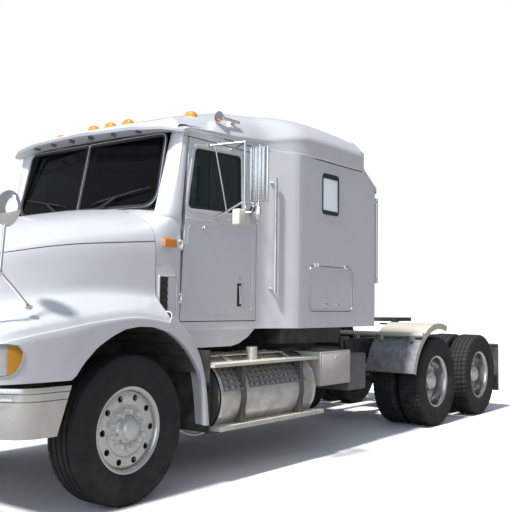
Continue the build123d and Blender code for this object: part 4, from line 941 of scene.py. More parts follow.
def with_holes(piece, centre, y0, y1, ring_radius, count, radius):
    """Cut a ring of round holes through a wheel disc."""
    cutters = []
    for number in range(count):
        angle = 2 * math.pi * number / count
        x = centre[0] + ring_radius * math.cos(angle)
        z = centre[2] + ring_radius * math.sin(angle)
        cutters.append(add_rod(f"hole_{number}", (x, y0, z), (x, y1, z), radius, 24))
    cutter = joined("holes", cutters)
    use_modifier(piece, "BOOLEAN", object=cutter, operation="DIFFERENCE", solver="EXACT")
    bpy.data.objects.remove(cutter)
    return piece


def rim_ring(y, well, steps):
    """Rim with a flange at each edge; well is the inner radius between them."""
    profile = [(0.2862, y - 0.106), (0.2990, y - 0.108), (0.3000, y - 0.117), (0.2955, y - 0.118),
               (0.2760, y - 0.112), (well, y - 0.09), (well - 0.002, y + 0.06), (0.2720, y + 0.098),
               (0.2800, y + 0.112), (0.2930, y + 0.1175), (0.3000, y + 0.1155), (0.3005, y + 0.108),
               (0.2900, y + 0.1065), (0.2862, y + 0.104), (0.2840, y + 0.05), (0.2840, y - 0.05),
               (0.2862, y - 0.106)]
    return smooth(add_turned("rim", profile, (0, 0, WHEEL_Z), steps), 40)


def front_wheel():
    """Pierced disc near the outer edge of its rim, with hub, nuts and studs; the brake drum is apart."""
    y = FRONT_WHEEL_Y
    centre = (0, 0, WHEEL_Z)
    rim = rim_ring(y, 0.268, 96)
    disc = add_turned("disc", [(0.270, y + 0.050), (0.269, y + 0.074), (0.262, y + 0.086),
                               (0.250, y + 0.0915), (0.225, y + 0.0925), (0.190, y + 0.0925),
                               (0.184, y + 0.0905), (0.178, y + 0.0880), (0.170, y + 0.0885),
                               (0.160, y + 0.0915), (0.100, y + 0.0925), (0.100, y + 0.070),
                               (0.158, y + 0.068), (0.205, y + 0.070), (0.240, y + 0.070),
                               (0.254, y + 0.064), (0.262, y + 0.050), (0.270, y + 0.050)], centre, 96)
    with_holes(disc, centre, y + 0.03, y + 0.12, 0.2260, 10, 0.0225)
    rounded(disc, 0.0015, 2, 50)
    smooth(disc, 40)
    hub = add_turned("hub", [(0.0, y + 0.1600), (0.020, y + 0.1590), (0.040, y + 0.1555), (0.056, y + 0.149),
                             (0.066, y + 0.140), (0.071, y + 0.128), (0.073, y + 0.118), (0.085, y + 0.112),
                             (0.098, y + 0.102), (0.104, y + 0.0925), (0.0, y + 0.088)], centre, 48)
    smooth(hub, 40)
    nuts = wheel_nuts("nut", centre, y + 0.0915, 0.1310, 10, 0.0215, 0.048)
    for number in range(10):
        angle = math.radians(36 * number + 18)
        x, z = 0.131 * math.sin(angle), WHEEL_Z + 0.131 * math.cos(angle)
        nuts.append(add_rod("stud", (x, y + 0.09, z), (x, y + 0.100, z), 0.0085, 12))
    for nut in nuts:
        smooth(nut, 40)
    inner = add_turned("drum", [(0.040, y - 0.085), (0.205, y - 0.085), (0.205, y - 0.02), (0.10, y - 0.02),
                                (0.10, y + 0.085), (0.040, y + 0.085)], centre, 48)
    smooth(inner, 35)
    return joined("front_rim_piece_left", [rim, disc, hub, *nuts]), inner


wheel_left, drum_left = front_wheel()
wheel_right = across(wheel_left, "front_rim_piece_right")
drum_right = across(drum_left, "front_drum_right")
drum_left.name = "front_drum_left"
settled(wheel_left, "front_wheel_left", "alloy", polished, "front_rim_left")
settled(wheel_right, "front_wheel_right", "alloy", polished, "front_rim_right")


def on_hub_or_nuts(centre, normal):
    """Whether a face of the front wheel belongs to the hub cap or to the ring of nuts."""
    radius = math.hypot(centre.x, centre.z - WHEEL_Z)
    return abs(centre.y) > FRONT_WHEEL_Y + 0.094 and (radius < 0.073 or 0.104 < radius < 0.165)


# Hub cap and nut covers: their bright, less metallic finish is painted glint in place of chrome highlights.
for piece in (wheel_left, wheel_right):
    second_finish(piece, caps_and_painted_glint, on_hub_or_nuts)
settled(drum_left, "front_wheel_left", "cast", cast)
settled(drum_right, "front_wheel_right", "cast", cast)


def drive_wheel():
    """Twin rims seen from outside: a deep dish with the disc near its inner end."""
    centre = (0, 0, WHEEL_Z)
    rims = [rim_ring(y, 0.269, 72) for y in (DRIVE_OUTER_Y, DRIVE_INNER_Y)]
    middle = 0.914
    link = add_turned("link", [(0.268, middle - 0.05), (0.278, middle - 0.05), (0.278, middle + 0.05),
                               (0.268, middle + 0.05), (0.268, middle - 0.05)], centre, 72)
    disc = add_turned("disc", [(0.272, middle + 0.040), (0.262, middle + 0.018), (0.240, middle + 0.006),
                               (0.205, middle + 0.001), (0.170, middle + 0.004), (0.156, middle + 0.016),
                               (0.110, middle + 0.018), (0.110, middle - 0.018), (0.170, middle - 0.016),
                               (0.240, middle - 0.012), (0.268, middle - 0.002), (0.272, middle + 0.040)],
                      centre, 72)
    with_holes(disc, centre, middle - 0.05, middle + 0.06, 0.210, 10, 0.0225)
    smooth(disc, 40)
    hub = add_turned("hub", [(0.0, 1.158), (0.060, 1.157), (0.074, 1.152), (0.080, 1.140), (0.098, 1.132),
                             (0.105, 1.122), (0.108, 1.075), (0.116, 1.060), (0.118, 0.935), (0.0, 0.930)],
                     centre, 48)
    smooth(hub, 40)
    nuts = wheel_nuts("nut", centre, middle + 0.018, 0.1375, 10, 0.0165, 0.045)
    bolts = wheel_nuts("bolt", centre, 1.131, 0.089, 8, 0.008, 0.012)
    for nut in nuts + bolts:
        smooth(nut, 40)
    inner = add_turned("drum", [(0.061, 0.640), (0.205, 0.640), (0.205, 0.73), (0.12, 0.74), (0.12, 0.90),
                                (0.061, 0.90)], centre, 48)
    smooth(inner, 35)
    return joined("drive_rims_shape", [*rims, link, disc, hub, *nuts, *bolts]), inner


rims_shape, drum_shape = drive_wheel()
for axle, axle_x in (("1", DRIVE_1_X), ("2", DRIVE_2_X)):
    for side, sign in SIDES:
        body = f"drive_wheel_{axle}_{side}"
        rims = copy_of(rims_shape, f"drive_rims_{axle}_{side}_piece", (axle_x, 0, 0))
        drum = copy_of(drum_shape, f"drive_drum_{axle}_{side}", (axle_x, 0, 0))
        if sign < 0:
            mirrored(rims)
            mirrored(drum)
        settled(rims, body, "alloy", polished, f"drive_rims_{axle}_{side}")
        settled(drum, body, "cast", cast)
bpy.data.objects.remove(rims_shape)
bpy.data.objects.remove(drum_shape)

# Pieces that keep the frame's own shape, with their edges rounded
dressed("frame_rails", "chassis", "frame", frame_paint, 0.004)
dressed("crossmembers", "chassis", "frame", frame_paint, 0.004)
dressed("engine_block", "chassis", "cast", cast, 0.03, 3)
dressed("radiator", "chassis", "cast", cast, 0.01)
dressed("axles", "chassis", "cast", cast, 0.006)
dressed("suspension", "chassis", "frame", frame_paint, 0.004)
dressed("knuckle_left", "knuckle_left", "cast", cast, 0.005)
dressed("knuckle_right", "knuckle_right", "cast", cast, 0.005)

# Bumper: heights of its pressed lines and slot, and the line of its front, which slants back past the bend
BUMPER_LINES = ((0.790, 0.796), (0.838, 0.844))
BUMPER_SLOT = (0.803, 0.829)
BUMPER_FRONT = 1.245
BUMPER_BEND_Y = 0.60
BUMPER_SLOPE = 0.345 / 0.52 * 0.80


def banded_bumper():
    """Bumper with pressed lines along its upper part and a slot, both darkened with painted shade."""
    piece = cad_copy("front_bumper", "bumper_piece")
    rounded(piece, 0.005, 2, 30)
    bpy.ops.object.mode_set(mode="EDIT")
    for z in BUMPER_LINES[0] + BUMPER_LINES[1]:
        bpy.ops.mesh.select_all(action="SELECT")
        bpy.ops.mesh.bisect(plane_co=(0, 0, z), plane_no=(0, 0, 1))
    bpy.ops.object.mode_set(mode="OBJECT")
    smooth(piece, 40)
    settled(piece, "chassis", "chrome", bumper_metal, "front_bumper")
    # The slot is darkened with painted shade.
    second_finish(piece, black_rubber_and_shade, in_slot)
    # The pressed lines are darkened with painted shade.
    second_finish(piece, strap_and_shade_grey,
                  lambda centre, normal: any(low < centre.z < high for low, high in BUMPER_LINES))


def in_slot(centre, normal):
    """Whether a face lies in the slot, behind the bumper's front face or its slanting end."""
    beyond = max(abs(centre.y) - BUMPER_BEND_Y, 0.0)
    depth = BUMPER_FRONT - beyond * BUMPER_SLOPE - centre.x
    return (BUMPER_SLOT[0] < centre.z < BUMPER_SLOT[1] and abs(normal.z) < 0.5 and centre.x > 0.955
            and depth > 0.004)


banded_bumper()
boxes = dressed("side_boxes", "chassis", "alloy", box_cream, 0.008)
second_finish(boxes, box_top, lambda centre, normal: normal.z > 0.8)
# The rear box and the undersides of the boxes are darkened with painted shade.
second_finish(boxes, box_painted_shade, lambda centre, normal: centre.x < -2.938 or normal.z < -0.5)
dressed("deck_plate", "chassis", "alloy", tank_alloy, 0.004)
dressed("fifth_wheel_base", "chassis", "frame", frame_paint, 0.005)
dressed("fifth_wheel_plate", "fifth_wheel_plate", "frame", frame_paint, 0.006)
dressed("mud_flaps", "chassis", "rubber", flap_rubber, 0.002)
dressed("tail_lamps", "chassis", "lens_red", red_lens, 0.003)
tanks = dressed("fuel_tanks", "chassis", "alloy", tank_alloy, 0.004, 2, 50)
second_finish(tanks, tread_plate, lambda centre, normal: centre.z > 0.9775)
steps = dressed("tank_steps", "chassis", "alloy", tread_plate, 0.003)
second_finish(steps, strap_and_shade_grey, lambda centre, normal: 0.446 < centre.z < 0.900)
fenders = dressed("rear_fenders", "chassis", "alloy", fender_sheet, 0.002)
# Forward faces low on the rear fenders are darkened with painted shade.
second_finish(fenders, painted_fender_shade, lambda centre, normal: normal.x > 0.62 and centre.z < 1.06)
# Faces of the rear fenders turned in towards the drive wheel get painted shade.
second_finish(fenders, strap_and_shade_grey,
              lambda centre, normal: (centre - Vector((DRIVE_1_X, centre.y, 0.505))).dot(normal) < -0.3)
dressed("cab_floor", "chassis", "frame", frame_paint, 0.004)
cowl = lined(dressed("cowl", "chassis", "paint", paint, 0.022, 4, 16), lining, CAB_MIDDLE)
only(cowl)
bpy.ops.mesh.customdata_custom_splitnormals_clear()
smooth(cowl, 62)
lined(dressed("cab_sides", "chassis", "paint", paint, 0.012, 3, 30), lining, CAB_MIDDLE)
lined(dressed("sleeper_sides", "chassis", "paint", paint, 0.008, 3, 30), lining, SLEEPER_MIDDLE)
lined(dressed("sleeper_back", "chassis", "paint", paint, 0.008), lining, SLEEPER_MIDDLE)

# Roof of cab and sleeper in one smooth sweep: x, half width, shoulder rise, top half width, crown rise
ROOF_SEAM = 2.770
ROOF_REAR = -3.138
ROOF_ROWS = ((-0.604, 0.998, 0.025, 0.780, 0.095), (-0.860, 1.020, 0.045, 0.745, 0.180),
             (-1.140, 1.029, 0.062, 0.725, 0.258), (-1.430, 1.030, 0.085, 0.735, 0.318),
             (-1.720, 1.032, 0.120, 0.765, 0.350), (-2.020, 1.160, 0.180, 0.840, 0.376),
             (-2.300, 1.179, 0.198, 0.870, 0.387), (-2.750, 1.180, 0.198, 0.880, 0.380),
             (ROOF_REAR, 1.180, 0.190, 0.880, 0.350))


def roof_section(x, half, shoulder, top_half, crown):
    side_z, top_z = ROOF_SEAM + shoulder, ROOF_SEAM + crown
    bend = ((half + top_half) / 2 + 0.036, (side_z + top_z) / 2 + 0.028)
    near = [(half, ROOF_SEAM - 0.001), (half, ROOF_SEAM + shoulder * 0.5), (half - 0.004, side_z - 0.006),
            bend, (top_half - 0.010, top_z - 0.004), (top_half * 0.5, top_z + 0.008)]
    line = near + [(0.0, top_z + 0.013)] + [(-y, z) for y, z in reversed(near)]
    return [Vector((x, y, z)) for y, z in line]


roof_grid = grid_between([roof_section(*row) for row in ROOF_ROWS], 6, 5)
front_wall = [Vector((point.x, point.y * 0.985, ROOF_SEAM)) for point in roof_grid[0]]
roof_skin = outwards(add_skin("roof_skin", [front_wall] + roof_grid), (-2.0, 0, 2.4))
use_modifier(roof_skin, "SOLIDIFY", thickness=0.020, offset=-1.0)
smooth(roof_skin, 38)
rear_cap = cad_copy("sleeper_roof", "rear_cap")
bpy.ops.object.mode_set(mode="EDIT")
bpy.ops.mesh.select_all(action="SELECT")
bpy.ops.mesh.bisect(plane_co=(ROOF_REAR + 0.001, 0, 0), plane_no=(1, 0, 0), clear_outer=True, use_fill=True)
bpy.ops.object.mode_set(mode="OBJECT")
rounded(rear_cap, 0.008, 3, 30)
smooth(rear_cap, 40)
roof = joined("roof_body", [roof_skin, rear_cap])
lined(settled(roof, "chassis", "paint", paint, "cab_roof", "sleeper_roof"), lining, CAB_MIDDLE)


def along_seam(name, rows, section):
    """Strip along the foot of the roof; section is (out, up) from the seam."""
    edge = curve_between([Vector((row[0], row[1], ROOF_SEAM)) for row in rows], 6)
    strip = [[point + Vector((0, out, up)) for out, up in section] for point in edge]
    return outwards(add_skin(name, strip), (-2.0, 0, 2.6))


# Bead along the foot of the roof, and under it a thin dark line of painted shade along the seam
BEAD = ((-0.004, 0.012), (0.004, 0.011), (0.0065, 0.006), (0.0055, 0.001), (0.001, -0.001), (-0.004, -0.001))
SHADE = ((0.0012, -0.001), (0.0020, -0.005), (0.0012, -0.009))
drip_rail = smooth(along_seam("drip_rail", ROOF_ROWS, BEAD), 50)
settled(both_sides(drip_rail), "chassis", "paint", paint)
seam_shade = along_seam("seam_shade", ROOF_ROWS[1:], SHADE)
settled(both_sides(seam_shade), "chassis", "paint", painted_line_shade)
dressed("sun_visor", "chassis", "paint", paint, 0.008, 3, 20)

MARKER_PLACES = ((-0.790, -0.22, 2.910), (-0.790, 0, 2.910), (-0.790, 0.22, 2.910), (-0.915, -0.83, 2.920),
                 (-0.915, 0.83, 2.920))


def marker_lamps():
    """Five low domed lamps over the visor and a flat one on each side of the cowl."""
    lenses, feet = [], []
    for x, y, z in MARKER_PLACES:
        lens = add_ball("lens", (0, 0, 0), 1.0, 32, 16)
        for vertex in lens.data.vertices:
            a, b, c = vertex.co
            vertex.co = Vector((x + 0.041 * math.copysign(abs(a) ** 0.75, a),
                                y + 0.058 * math.copysign(abs(b) ** 0.75, b),
                                z + 0.010 + 0.056 * math.copysign(abs(c) ** 0.85, c)))
        lenses.append(smooth(lens, 60))
        foot = add_box("foot", x - 0.0445, x + 0.0445, y - 0.0615, y + 0.0615, z - 0.028, z + 0.012)
        feet.append(rounded(foot, 0.010, 3))
    for sign in (1, -1):
        y0, y1 = sorted((sign * 1.036, sign * 1.0545))
        lenses.append(smooth(rounded(add_box("lens", -0.541, -0.404, y0, y1, 1.819, 1.891), 0.009, 4), 50))
        y0, y1 = sorted((sign * 1.029, sign * 1.0375))
        feet.append(rounded(add_box("foot", -0.5445, -0.4005, y0, y1, 1.8155, 1.8945), 0.003))
    return joined("marker_lenses", lenses), smooth(joined("marker_feet", feet), 40)


lenses, feet = marker_lamps()
settled(lenses, "chassis", "lens_amber", amber_lens, "marker_lamps")
settled(feet, "chassis", "chrome", chrome)
dressed("air_horns", "chassis", "chrome", chrome, 0.003)
dressed("dashboard", "chassis", "trim", trim, 0.02, 3)
dressed("grab_rails", "chassis", "chrome", chrome, 0.002)
dressed("cab_glass", "chassis", "glass", glass, 0.001)
dressed("grille", "hood", "chrome", chrome, 0.002)
dressed("steering_wheel", "steering_wheel", "trim", trim, 0.003)
for side, sign in SIDES:
    lined(dressed(f"door_{side}", f"door_{side}", "paint", paint, 0.008, 3), lining, CAB_MIDDLE)
    dressed(f"door_glass_{side}", f"door_{side}", "glass", door_tint, 0.001)
    dressed(f"luggage_door_{side}", f"luggage_door_{side}", "paint", paint, 0.006)


# Smooth skins over the corners of cowl and windscreen pillars
COWL_START, COWL_END = -0.3455, -0.6045


def cheek_skin():
    """Corner of the cowl, from the hood's end to the doors."""
    at_hood = curve_between([(0, 0.60, 2.112), (0, 0.742, 2.085), (0, 0.948, 1.985), (0, 1.020, 1.860),
                             (0, 1.0310, 1.690)], 7)
    at_doors = curve_between([(0, 0.60, 2.163), (0, 0.742, 2.158), (0, 0.958, 2.135), (0, 1.0146, 2.060),
                              (0, 1.0310, 1.690)], 7)
    rows = []
    for step in range(9):
        t = step / 8
        x = COWL_START + (COWL_END - COWL_START) * t
        row = [a.lerp(b, t) + Vector((x, 0, 0.0015)) for a, b in zip(at_hood, at_doors)]
        rows.append(row)
    sheet = outwards(add_skin("cheek_skin", rows), (-0.5, 0, 1.5))
    use_modifier(sheet, "SOLIDIFY", thickness=0.003, offset=-1.0)
    return smooth(sheet, 60)


def pillar_skin():
    """Windscreen pillar, with its foot sunk into the cowl."""
    low = curve_between([(-0.452, 0.885, 2.085), (-0.470, 0.950, 2.085), (-0.512, 1.004, 2.085),
                         (-0.565, 1.0275, 2.085), (-0.6045, 1.0320, 2.085)], 6)
    high = curve_between([(-0.656, 0.862, 2.762), (-0.637, 0.935, 2.762), (-0.638, 0.998, 2.762),
                          (-0.657, 1.0205, 2.762), (-0.6790, 1.0225, 2.762)], 6)
    rows = [[point + Vector((-0.075, -0.060, -0.140)) for point in low],
            [point + Vector((-0.030, -0.022, -0.075)) for point in low],
            [point + Vector((-0.006, -0.004, -0.030)) for point in low]]
    rows += [[a.lerp(b, step / 10) for a, b in zip(low, high)] for step in range(11)]
    sheet = outwards(add_skin("pillar_skin", rows), (-0.9, 0.5, 2.4))
    use_modifier(sheet, "SOLIDIFY", thickness=0.003, offset=-1.0)
    return smooth(sheet, 60)


settled(both_sides(joined("cowl_skins", [cheek_skin(), pillar_skin()])), "chassis", "paint", paint)

# Windscreen: each half pane lies on its own slanting plane
PANE_CENTRE_LOW = Vector((-0.445, 0, 2.150))
PANE_OUTER_LOW = Vector((-0.495, 0.870, 2.150))
PANE_OUTER_TOP = Vector((-0.690, 0.845, 2.735))
PANE_CENTRE_TOP = Vector((-0.572, 0, 2.735))
PANE_ACROSS = (PANE_OUTER_LOW - PANE_CENTRE_LOW).normalized()
PANE_RISE = PANE_CENTRE_TOP - PANE_CENTRE_LOW
PANE_UP = (PANE_RISE - PANE_ACROSS * PANE_RISE.dot(PANE_ACROSS)).normalized()
PANE_OUT = PANE_ACROSS.cross(PANE_UP)


def on_pane(a, b, d):
    """Point at a across, b up and d out of the left half pane, from its lower middle corner."""
    return PANE_CENTRE_LOW + PANE_ACROSS * a + PANE_UP * b + PANE_OUT * d


def pane_measure(point):
    away = point - PANE_CENTRE_LOW
    return away.dot(PANE_ACROSS), away.dot(PANE_UP)


PANE_OUTLINE = [pane_measure(p) for p in (PANE_CENTRE_LOW, PANE_OUTER_LOW, PANE_OUTER_TOP, PANE_CENTRE_TOP)]
PANE_RADII = (0.03, 0.15, 0.07, 0.03)


def pane_ring(name, outer_margin, inner_margin, start, depth):
    """Frame about the half pane, standing out from start by depth."""
    outer_radii = [r + outer_margin for r in PANE_RADII]
    inner_radii = [max(r - inner_margin, 0.006) for r in PANE_RADII]
    outer = rounded_outline(grown(PANE_OUTLINE, outer_margin), outer_radii, 8)
    inner = rounded_outline(grown(PANE_OUTLINE, -inner_margin), inner_radii, 8)
    piece = add_ring(name, outer, inner, lambda a, b, d: on_pane(a, b, start + d), depth)
    rounded(piece, 0.0025, 2, 50)
    return smooth(piece, 40)


seals = both_sides(pane_ring("windscreen_seal", 0.012, 0.024, -0.004, 0.012))
settled(seals, "chassis", "rubber", black_rubber_and_shade)
bead = both_sides(pane_ring("windscreen_bead", 0.004, 0.003, 0.004, 0.0065))
settled(bead, "chassis", "chrome", chrome)


def wiper():
    """Two arms from one pivot and a blade with its spine and claws, resting at the foot of the pane."""
    pivot = on_pane(0.17, -0.055, 0.012)
    elbow = on_pane(0.20, -0.02, 0.034)
    middle = on_pane(0.46, 0.105, 0.026)
    parts = [add_rod("pivot", on_pane(0.17, -0.055, -0.014), on_pane(0.17, -0.055, 0.030), 0.017, 20),
             add_rod("arm", pivot + PANE_OUT * 0.014, elbow, 0.0075, 12),
             add_rod("arm", elbow, middle, 0.0055, 12),
             add_rod("second_arm", on_pane(0.21, -0.045, 0.03), middle, 0.004)]
    low, high = on_pane(0.16, 0.055, 0.018), on_pane(0.78, 0.160, 0.018)
    parts.append(add_rod("blade_spine", low.lerp(high, 0.12), low.lerp(high, 0.88), 0.006, 8))
    for a, b in ((0.12, 0.36), (0.64, 0.88)):
        start, end = low.lerp(high, a) + PANE_OUT * 0.004, low.lerp(high, b) - PANE_OUT * 0.002
        parts.append(add_rod("claw", start, end, 0.0045, 8))
    parts.append(add_rod("blade", low - PANE_OUT * 0.008, high - PANE_OUT * 0.008, 0.0035, 8))
    return smooth(joined("wiper", parts), 40)


settled(both_sides(wiper()), "chassis", "trim", black_rubber_and_shade)


def sun_blind():
    """Blind folded up inside the windscreen, on its rod."""
    blind = rounded(add_box("blind", -0.018, 0.018, 0.06, 0.72, -0.075, 0.075), 0.014, 4)
    blind.data.transform(Matrix.Translation((-0.700, 0, 2.625)) @ Matrix.Rotation(math.radians(-16), 4, "Y"))
    rod = add_rod("blind_rod", (-0.690, 0.04, 2.703), (-0.690, 0.74, 2.703), 0.008, 12)
    return smooth(joined("sun_blinds", [blind, rod]), 40)


settled(both_sides(sun_blind()), "chassis", "cloth", blind_cloth)

# Little brackets under the visor
brackets = []
for y, x in ((0.12, -0.455), (0.38, -0.470), (0.64, -0.500)):
    bracket = add_box("visor_bracket", x - 0.035, x + 0.030, y - 0.010, y + 0.010, 2.752, 2.776)
    brackets.append(rounded(bracket, 0.003))
settled(both_sides(joined("visor_brackets", brackets)), "chassis", "paint", worn_steel)

# Place of the groove among the points of a hood section
GROOVE_COLUMN = 4


def hood_line():
    """Thin dark line along the groove of the hood: painted shade in the groove."""
    rows = []
    for point in curve_between([(x, *section[GROOVE_COLUMN]) for x, section in HOOD_ROWS], 8):
        rows.append([point + Vector((0, 0.0012, 0.0028)), point + Vector((0, 0.0022, 0)),
                     point + Vector((0, 0.0012, -0.0028))])
    return outwards(add_skin("hood_line", rows))


settled(both_sides(smooth(hood_line(), 60)), "hood", "paint", painted_line_shade)


def fender_mirror():
    """Round mirror on a bent post with its foot on the fender."""
    head = (1.005, 1.080, 1.960)
    bend = (1.045, 1.095, 1.575)
    foot = (0.829, 1.090, 1.372)
    parts = [add_rod("post", head, bend, 0.0095, 14), add_rod("foot_rod", bend, foot, 0.0085, 14),
             add_rod("brace", bend, (1.06, 1.00, 1.272), 0.0085, 14), add_ball("joint", bend, 0.016, 16, 8),
             add_rod("foot_plate", (0.829, 1.088, 1.356), (0.829, 1.094, 1.376), 0.024, 20),
             add_rod("foot_plate", (1.060, 0.996, 1.250), (1.062, 1.002, 1.276), 0.024, 20)]
    back = [(0.0, 0.030), (0.030, 0.028), (0.070, 0.020), (0.098, 0.008), (0.110, -0.004), (0.1145, -0.010),
            (0.1135, -0.015), (0.108, -0.015), (0.106, -0.011), (0.0, -0.011)]
    dish = add_turned("mirror_back", back, (0, 0, 0), 48)
    glass_disc = add_turned("mirror_glass", [(0.0, -0.016), (0.060, -0.0145), (0.1055, -0.0125),
                                             (0.1055, -0.0105), (0.0, -0.0105)], (0, 0, 0), 48)
    turn = Vector((0.985, 0.10, 0.05)).to_track_quat("Y", "Z").to_matrix().to_4x4()
    for disc in (dish, glass_disc):
        disc.data.transform(Matrix.Translation((1.010, 1.080, 1.960)) @ turn)
        smooth(disc, 40)
    return smooth(joined("fender_mirror", [dish, *parts]), 40), glass_disc


mirror_body, mirror_disc = fender_mirror()
settled(both_sides(mirror_body), "hood", "chrome", chrome, "hood_mirrors")
settled(both_sides(mirror_disc), "hood", "glass", mirror_face)

# Louvre vent on the cowl side
VENT = [(-0.372, 1.300), (-0.372, 1.606), (-0.566, 1.606), (-0.566, 1.262), (-0.44, 1.262)]


def vent():
    """Frame, blank panel and slats of the vent."""
    ring = frame_round("vent_frame", VENT, 0.004, 0.008, 0.012, on_wall(CAB_HALF), 0.009, 0.0015)
    panel = add_box("vent_panel", -0.556, -0.470, 1.029, 1.036, 1.285, 1.596)
    rounded(panel, 0.004)
    slats = [add_box("vent_back", -0.466, -0.382, 1.026, 1.0315, 1.300, 1.598)]
    for number in range(6):
        z = 1.318 + number * 0.050
        slat = add_box("slat", -0.462, -0.386, -0.002, 0.002, -0.021, 0.021)
        slat.data.transform(Matrix.Translation((0, 1.034, z)) @ Matrix.Rotation(math.radians(-24), 4, "X"))
        slats.append(slat)
    return joined("vent_frame", [ring, panel]), joined("vent_slats", slats)


vent_frame, vent_slats = vent()
settled(both_sides(vent_frame), "chassis", "paint", paint)
settled(both_sides(vent_slats), "chassis", "trim", black_rubber_and_shade)

# Doors
DOOR_WINDOW = [(-0.680, 2.146), (-0.762, 2.633), (-1.338, 2.653), (-1.362, 2.168)]
DOOR_PRESS = [(-0.670, 1.330), (-0.690, 2.030), (-1.520, 2.030), (-1.520, 1.330)]


def door_details():
    """Rubbers, pressed lines and handle of the left door."""
    rubber_face = on_wall(CAB_HALF - 0.028)
    rubber = [frame_round("window_rubber", DOOR_WINDOW, 0.003, 0.018, 0.045, rubber_face, 0.014, 0.002)]
    rubber.append(rounded(add_box("divider", -0.980, -0.956, 1.006, 1.017, 2.170, 2.642), 0.003))
    rubber.append(add_box("lower_sweep", -1.352, -0.694, 1.024, 1.0325, 2.158, 2.172))
    rim_face, press_face = on_wall(CAB_HALF - 0.0005), on_wall(CAB_HALF - 0.0003)
    rim = frame_round("window_rim", DOOR_WINDOW, 0.036, -0.005, 0.045, rim_face, 0.0055, 0.0025)
    panel = frame_round("door_press", DOOR_PRESS, 0.004, 0.003, 0.075, press_face, 0.0022, 0.001)
    line = rounded(add_box("door_line", -1.535, -0.665, 1.0295, 1.0330, 2.062, 2.074), 0.0015)
    shapes = [rim, panel, line]
    dark = [rounded(add_box("handle_cup", -1.366, -1.310, 1.0285, 1.0325, 1.380, 1.575), 0.012, 3)]
    bright = [rounded(add_box("handle_bar", -1.350, -1.328, 1.036, 1.048, 1.400, 1.555), 0.005, 3),
              rounded(add_box("handle_foot", -1.348, -1.330, 1.031, 1.040, 1.405, 1.425), 0.002),
              rounded(add_box("handle_foot", -1.348, -1.330, 1.031, 1.040, 1.530, 1.550), 0.002)]
    knob_profile = [(0.0, 1.060), (0.012, 1.059), (0.019, 1.054), (0.021, 1.047), (0.014, 1.041),
                    (0.012, 1.031), (0.0, 1.031)]
    bright.append(smooth(add_turned("knob", knob_profile, (-0.876, 0, 2.003), 28), 40))
    lock_profile = [(0.0, 1.036), (0.011, 1.036), (0.013, 1.034), (0.013, 1.030), (0.0, 1.030)]
    bright.append(add_turned("lock", lock_profile, (-1.339, 0, 1.620), 20))
    return (smooth(joined("door_rubber", rubber + dark), 40), smooth(joined("door_pressings", shapes), 40),
            smooth(joined("door_handle", bright), 40))


def sided(piece, sign):
    """The left piece itself, or its copy for the right side."""
    return copy_of(piece, piece.name + "_left") if sign > 0 else across(piece)


